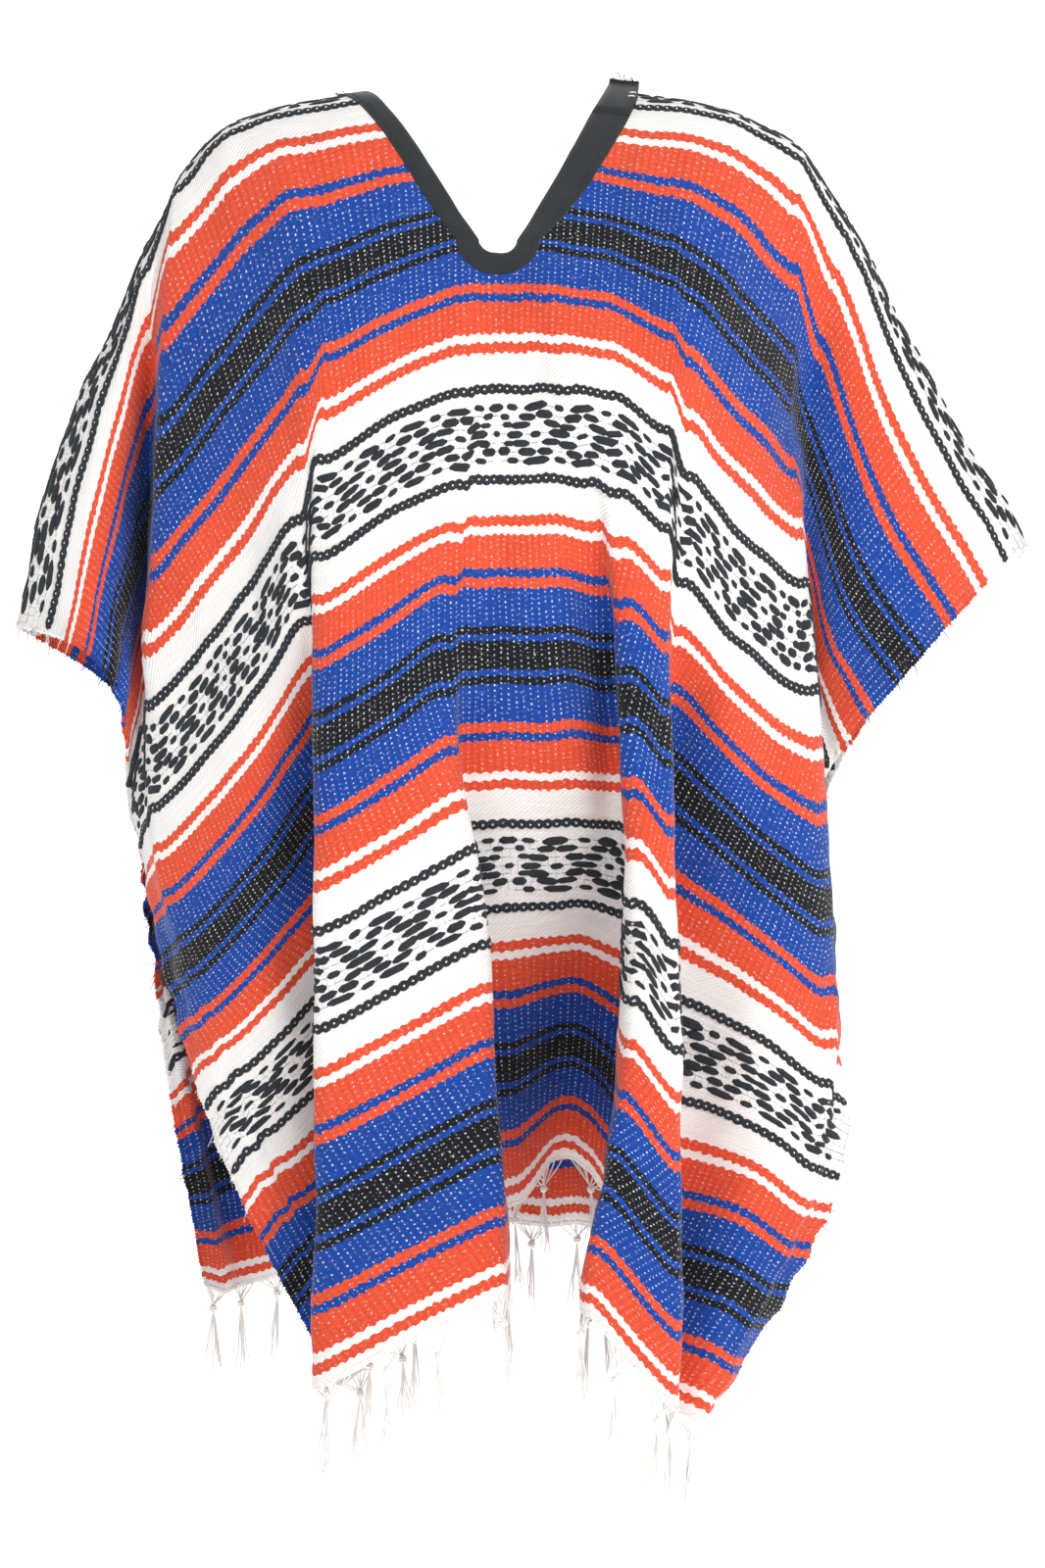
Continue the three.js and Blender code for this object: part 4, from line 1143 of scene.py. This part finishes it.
def binding(cloth):
    """The tape folded round the raw edge, a closed ring of sections."""
    stations = tape_stations(cloth)
    length = stations[-1]
    uneven = 0.3 * ripples(length, 0.0, 40, 9, 71)
    rings = []
    for share, past, height in TAPE_HALF + [(s, p, -h) for s, p, h in TAPE_HALF[-2::-1]]:
        puff = np.sign(height) * uneven * (share > 0.3)
        rings.append(tape_point(stations, share, past, (height + puff)[:, None]))
    co = np.stack(rings, axis=1)
    uv = pairs(lengths_along(co[0]), length[:, None])
    made = Pieces()
    made.add(co.reshape(-1, 3), ring_quads(*co.shape[:2], closed=True), uv.reshape(-1, 2))
    return made


def lapped_end(cloth):
    """The loose end of the tape, laid over itself and curled up at the wearer's left
    shoulder, which is the right one as seen from the front."""
    share = np.linspace(0.02, 0.98, 6)[:, None]
    cup = 0.5 * (2 * share - 1) ** 2
    rings = []
    for down, height, rise in LAP_ROWS:
        across = [neck_half_width("right", edge, down) for edge in ("cut", "tape")]
        edge, outer = (cloth.on(u, down) for u in across)
        here = (*edge, *outer, 0.0, None)
        lifts = [LAP_LIFT + height + cup + half for half in (LAP_HALF, -LAP_HALF)]
        top, under = (tape_point(here, share, 0.0, lift) for lift in lifts)
        rings.append(np.concatenate([top, under[::-1]]) - rise * DOWN)
    co = np.stack(rings)
    many, size = co.shape[:2]
    faces = [(a, d, c, b) for a, b, c, d in ring_quads(many, size)]
    faces += [range(size), range((many - 1) * size, many * size)[::-1]]
    uv = pairs(4.0 * np.arange(size), 9.0 * np.arange(many)[:, None])
    made = Pieces()
    made.add(co.reshape(-1, 3), faces, uv.reshape(-1, 2))
    return made


def tape_frays(cloth):
    """Cut threads at the tape's two ends: off the lap's tip and past the other shoulder."""
    made = Pieces()
    random = draws(81)
    share = np.linspace(0, 1, 7)[:, None]
    _, height, rise = LAP_ROWS[-1]
    tip, facing = cloth.on(neck_half_width("right", "tape", 0) - np.linspace(1, 20, FRAYS), 0.0)
    tip = tip + facing * (LAP_LIFT + height) - rise * DOWN
    across = -neck_half_width("left", "tape", 0) + np.linspace(0, 6, FRAYS)
    end, _ = cloth.on(across, np.linspace(1, 9, FRAYS), TAPE_OUTER - 0.6)
    for starts, way in ((tip, TIP_FRAYS), (end, SHOULDER_FRAYS)):
        for start in starts:
            reach = random.uniform(3, 9) * (way + random.uniform(-0.35, 0.35, 3))
            path = start + reach * share + random.uniform(-3, 2, 3) * share**2
            made.tube(path, (0.2, -1.0, 0.1), 0.32, sides=4)
    return made


def bar_tacks(cloth):
    """Two short white stitches that hold the lapped end down."""
    made = Pieces()
    share = np.linspace(0, 1, 5)
    for down in BAR_TACKS:
        u = neck_half_width("right", "tape", down) - 2.0 - 5.5 * share
        lift = LAP_LIFT + 1.3 + 0.4 * np.sin(share * math.pi)
        path, facing = cloth.on(u, down + 1.5 * share, lift)
        made.tube(path, facing, 0.55, sides=5)
    return made


def stitches(cloth):
    """The seam that holds the tape, sunk a little in its groove."""
    made = Pieces()
    stations = tape_stations(cloth)
    length = stations[-1]
    share = np.linspace(0, 1, 5)
    at = np.arange(2, length[-1] - 2, STITCH_STEP)[:, None] + share * STITCH
    arch = 0.35 * np.sin(share * math.pi)[:, None]

    def read(values):
        return np.stack([np.interp(at, length, column) for column in values.T], axis=-1)

    for inner in (1, -1):
        line = tape_point(stations, STITCH_LINE, 0.0, inner * (TAPE_OUTER + 0.05))
        facing = unit(read(stations[3] * inner))
        made.tubes(read(line) + facing * arch, facing, 0.34, pairs(at, 0.0), sides=5)
    return made


def forms_of(cloth, falsa):
    """The pieces that go with the panel, and the material of each."""
    black = yarn_material("black_weft", "#202327", "#43484e")
    white = yarn_material("white_warp", "#faf8f5", "#ece8e2", 1.8)
    tape = tape_material()
    thread = yarn_material("tape_thread", "#2b2e33", "#5a5e63", 1.2)
    forms = {}
    for face in FACES:
        twined, eyes = ropes(cloth, face)
        forms[f"rope_lines_{face}"] = twined, black
        forms[f"warp_dots_{face}"] = warp_dots(cloth, eyes), white
        forms[f"diamond_floats_{face}"] = floats(cloth, face), black
        forms[f"fringe_strands_{face}"] = fringe(cloth, face), white
    return forms | {
        "selvage_loops": (selvage_loops(cloth), falsa),
        "loose_weft_ends": (loose_ends(cloth), falsa),
        "hem_edges": (hem_edges(cloth), white),
        "neck_binding_tape": (binding(cloth), tape),
        "neck_tape_lap": (lapped_end(cloth), tape),
        "neck_stitches": (stitches(cloth), thread),
        "neck_frays": (tape_frays(cloth), thread),
        "neck_bar_tacks": (bar_tacks(cloth), white),
    }


def build(scene):
    """Makes every piece and hangs each one on the part's root."""
    scene.view_settings.view_transform = "Standard"
    cloth = Cloth()
    falsa = cloth_material("falsa_cloth")
    panel = make_mesh("falsa_panel", cloth.co, cloth.quads.tolist(), cloth.uv, falsa)
    shell = panel.modifiers.new("Thickness", "SOLIDIFY")
    shell.thickness = CLOTH * MM
    shell.offset = 0.0
    forms = forms_of(cloth, falsa)
    going = {name: form.build(name, material) for name, (form, material) in forms.items()}

    pieces = {"falsa_panel": panel, **going}
    for piece in pieces.values():
        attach(piece, "root")
    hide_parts("cloth_front", "cloth_back")
    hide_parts("neck_binding")
    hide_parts("neck_binding_lap")
    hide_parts("fringe_front")
    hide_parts("fringe_back")


# --- stage

# In metres from here on
CAMERA = (0.0205, -3.0, -0.555)
SENSOR = 36.0
VIEW_HEIGHT = 1.264  # that the picture takes in, at the distance of the shoulder fold
FLOOR = -1.16
FLOOR_HALF_WIDTH, FLOOR_NEAR, FLOOR_FAR, FLOOR_TOP = 20.0, -20.0, 8.0, 10.0
FLOOR_TURN, TURN_STEPS = 1.5, 12  # radius of the curve up at the back, and its facets
WORLD_LIGHT = 0.46
AIM = (0.0, 0.0, -0.5)
# Lamps: name, place, size and watts
LAMPS = [
    ("key", (1.5, -2.8, 1.3), 1.4, 74.0),
    ("fill", (-1.6, -3.2, 0.2), 2.2, 9.0),
    ("back", (0.0, 2.2, 1.6), 2.0, 30.0),
]


def set_camera(scene):
    """A camera straight before the part, which sees its whole height."""
    lens = bpy.data.cameras.new("camera")
    lens.sensor_fit = "VERTICAL"
    lens.sensor_height = SENSOR
    lens.lens = SENSOR * -CAMERA[1] / VIEW_HEIGHT
    lens.clip_end = 100.0
    camera = bpy.data.objects.new("camera", lens)
    camera.location = CAMERA
    camera.rotation_euler = (math.pi / 2, 0, 0)
    scene.collection.objects.link(camera)
    scene.camera = camera


def lay_floor():
    """A pale floor that curves up behind."""
    s = Shader("stage_floor", Roughness=0.9, Specular_IOR_Level=0.1, Emission_Strength=0.5)
    s.feed(s.surface.inputs["Base Color"], (0.9, 0.9, 0.9, 1.0))
    s.feed(s.surface.inputs["Emission Color"], (1.0, 1.0, 1.0, 1.0))
    start = FLOOR_FAR - FLOOR_TURN
    profile = [(FLOOR_NEAR, FLOOR), (start, FLOOR)]
    for k in range(1, TURN_STEPS + 1):
        angle = math.pi / 2 * k / TURN_STEPS
        height = FLOOR + FLOOR_TURN * (1 - math.cos(angle))
        profile.append((start + FLOOR_TURN * math.sin(angle), height))
    profile.append((FLOOR_FAR, FLOOR_TOP))
    co = np.array([(x, y, z) for y, z in profile for x in (-FLOOR_HALF_WIDTH, FLOOR_HALF_WIDTH)]) / MM
    faces = [(2 * i, 2 * i + 1, 2 * i + 3, 2 * i + 2) for i in range(len(profile) - 1)]
    floor = make_mesh("stage_floor", co, faces, co[:, :2], s.material)


def set_lights(scene):
    """Soft light from three lamps, in a pale world."""
    world = bpy.data.worlds.new("studio")
    world.use_nodes = True
    background = world.node_tree.nodes["Background"]
    background.inputs[0].default_value = (1.0, 1.0, 1.0, 1.0)
    background.inputs[1].default_value = WORLD_LIGHT
    scene.world = world
    for name, place, size, power in LAMPS:
        lamp = bpy.data.lights.new(name, "AREA")
        lamp.size = size
        lamp.energy = power
        made = bpy.data.objects.new(name, lamp)
        made.location = place
        x, y, z = np.array(AIM) - place
        made.rotation_euler = (math.atan2(math.hypot(x, y), -z), 0, math.atan2(-x, y))
        scene.collection.objects.link(made)


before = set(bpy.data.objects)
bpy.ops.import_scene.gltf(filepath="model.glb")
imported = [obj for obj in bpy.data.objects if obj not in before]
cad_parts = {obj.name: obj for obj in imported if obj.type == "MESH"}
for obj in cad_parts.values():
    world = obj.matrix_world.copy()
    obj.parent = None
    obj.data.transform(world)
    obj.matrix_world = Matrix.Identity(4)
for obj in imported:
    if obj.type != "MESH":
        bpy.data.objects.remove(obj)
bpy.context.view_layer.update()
build(bpy.context.scene)
set_camera(bpy.context.scene)
lay_floor()
set_lights(bpy.context.scene)
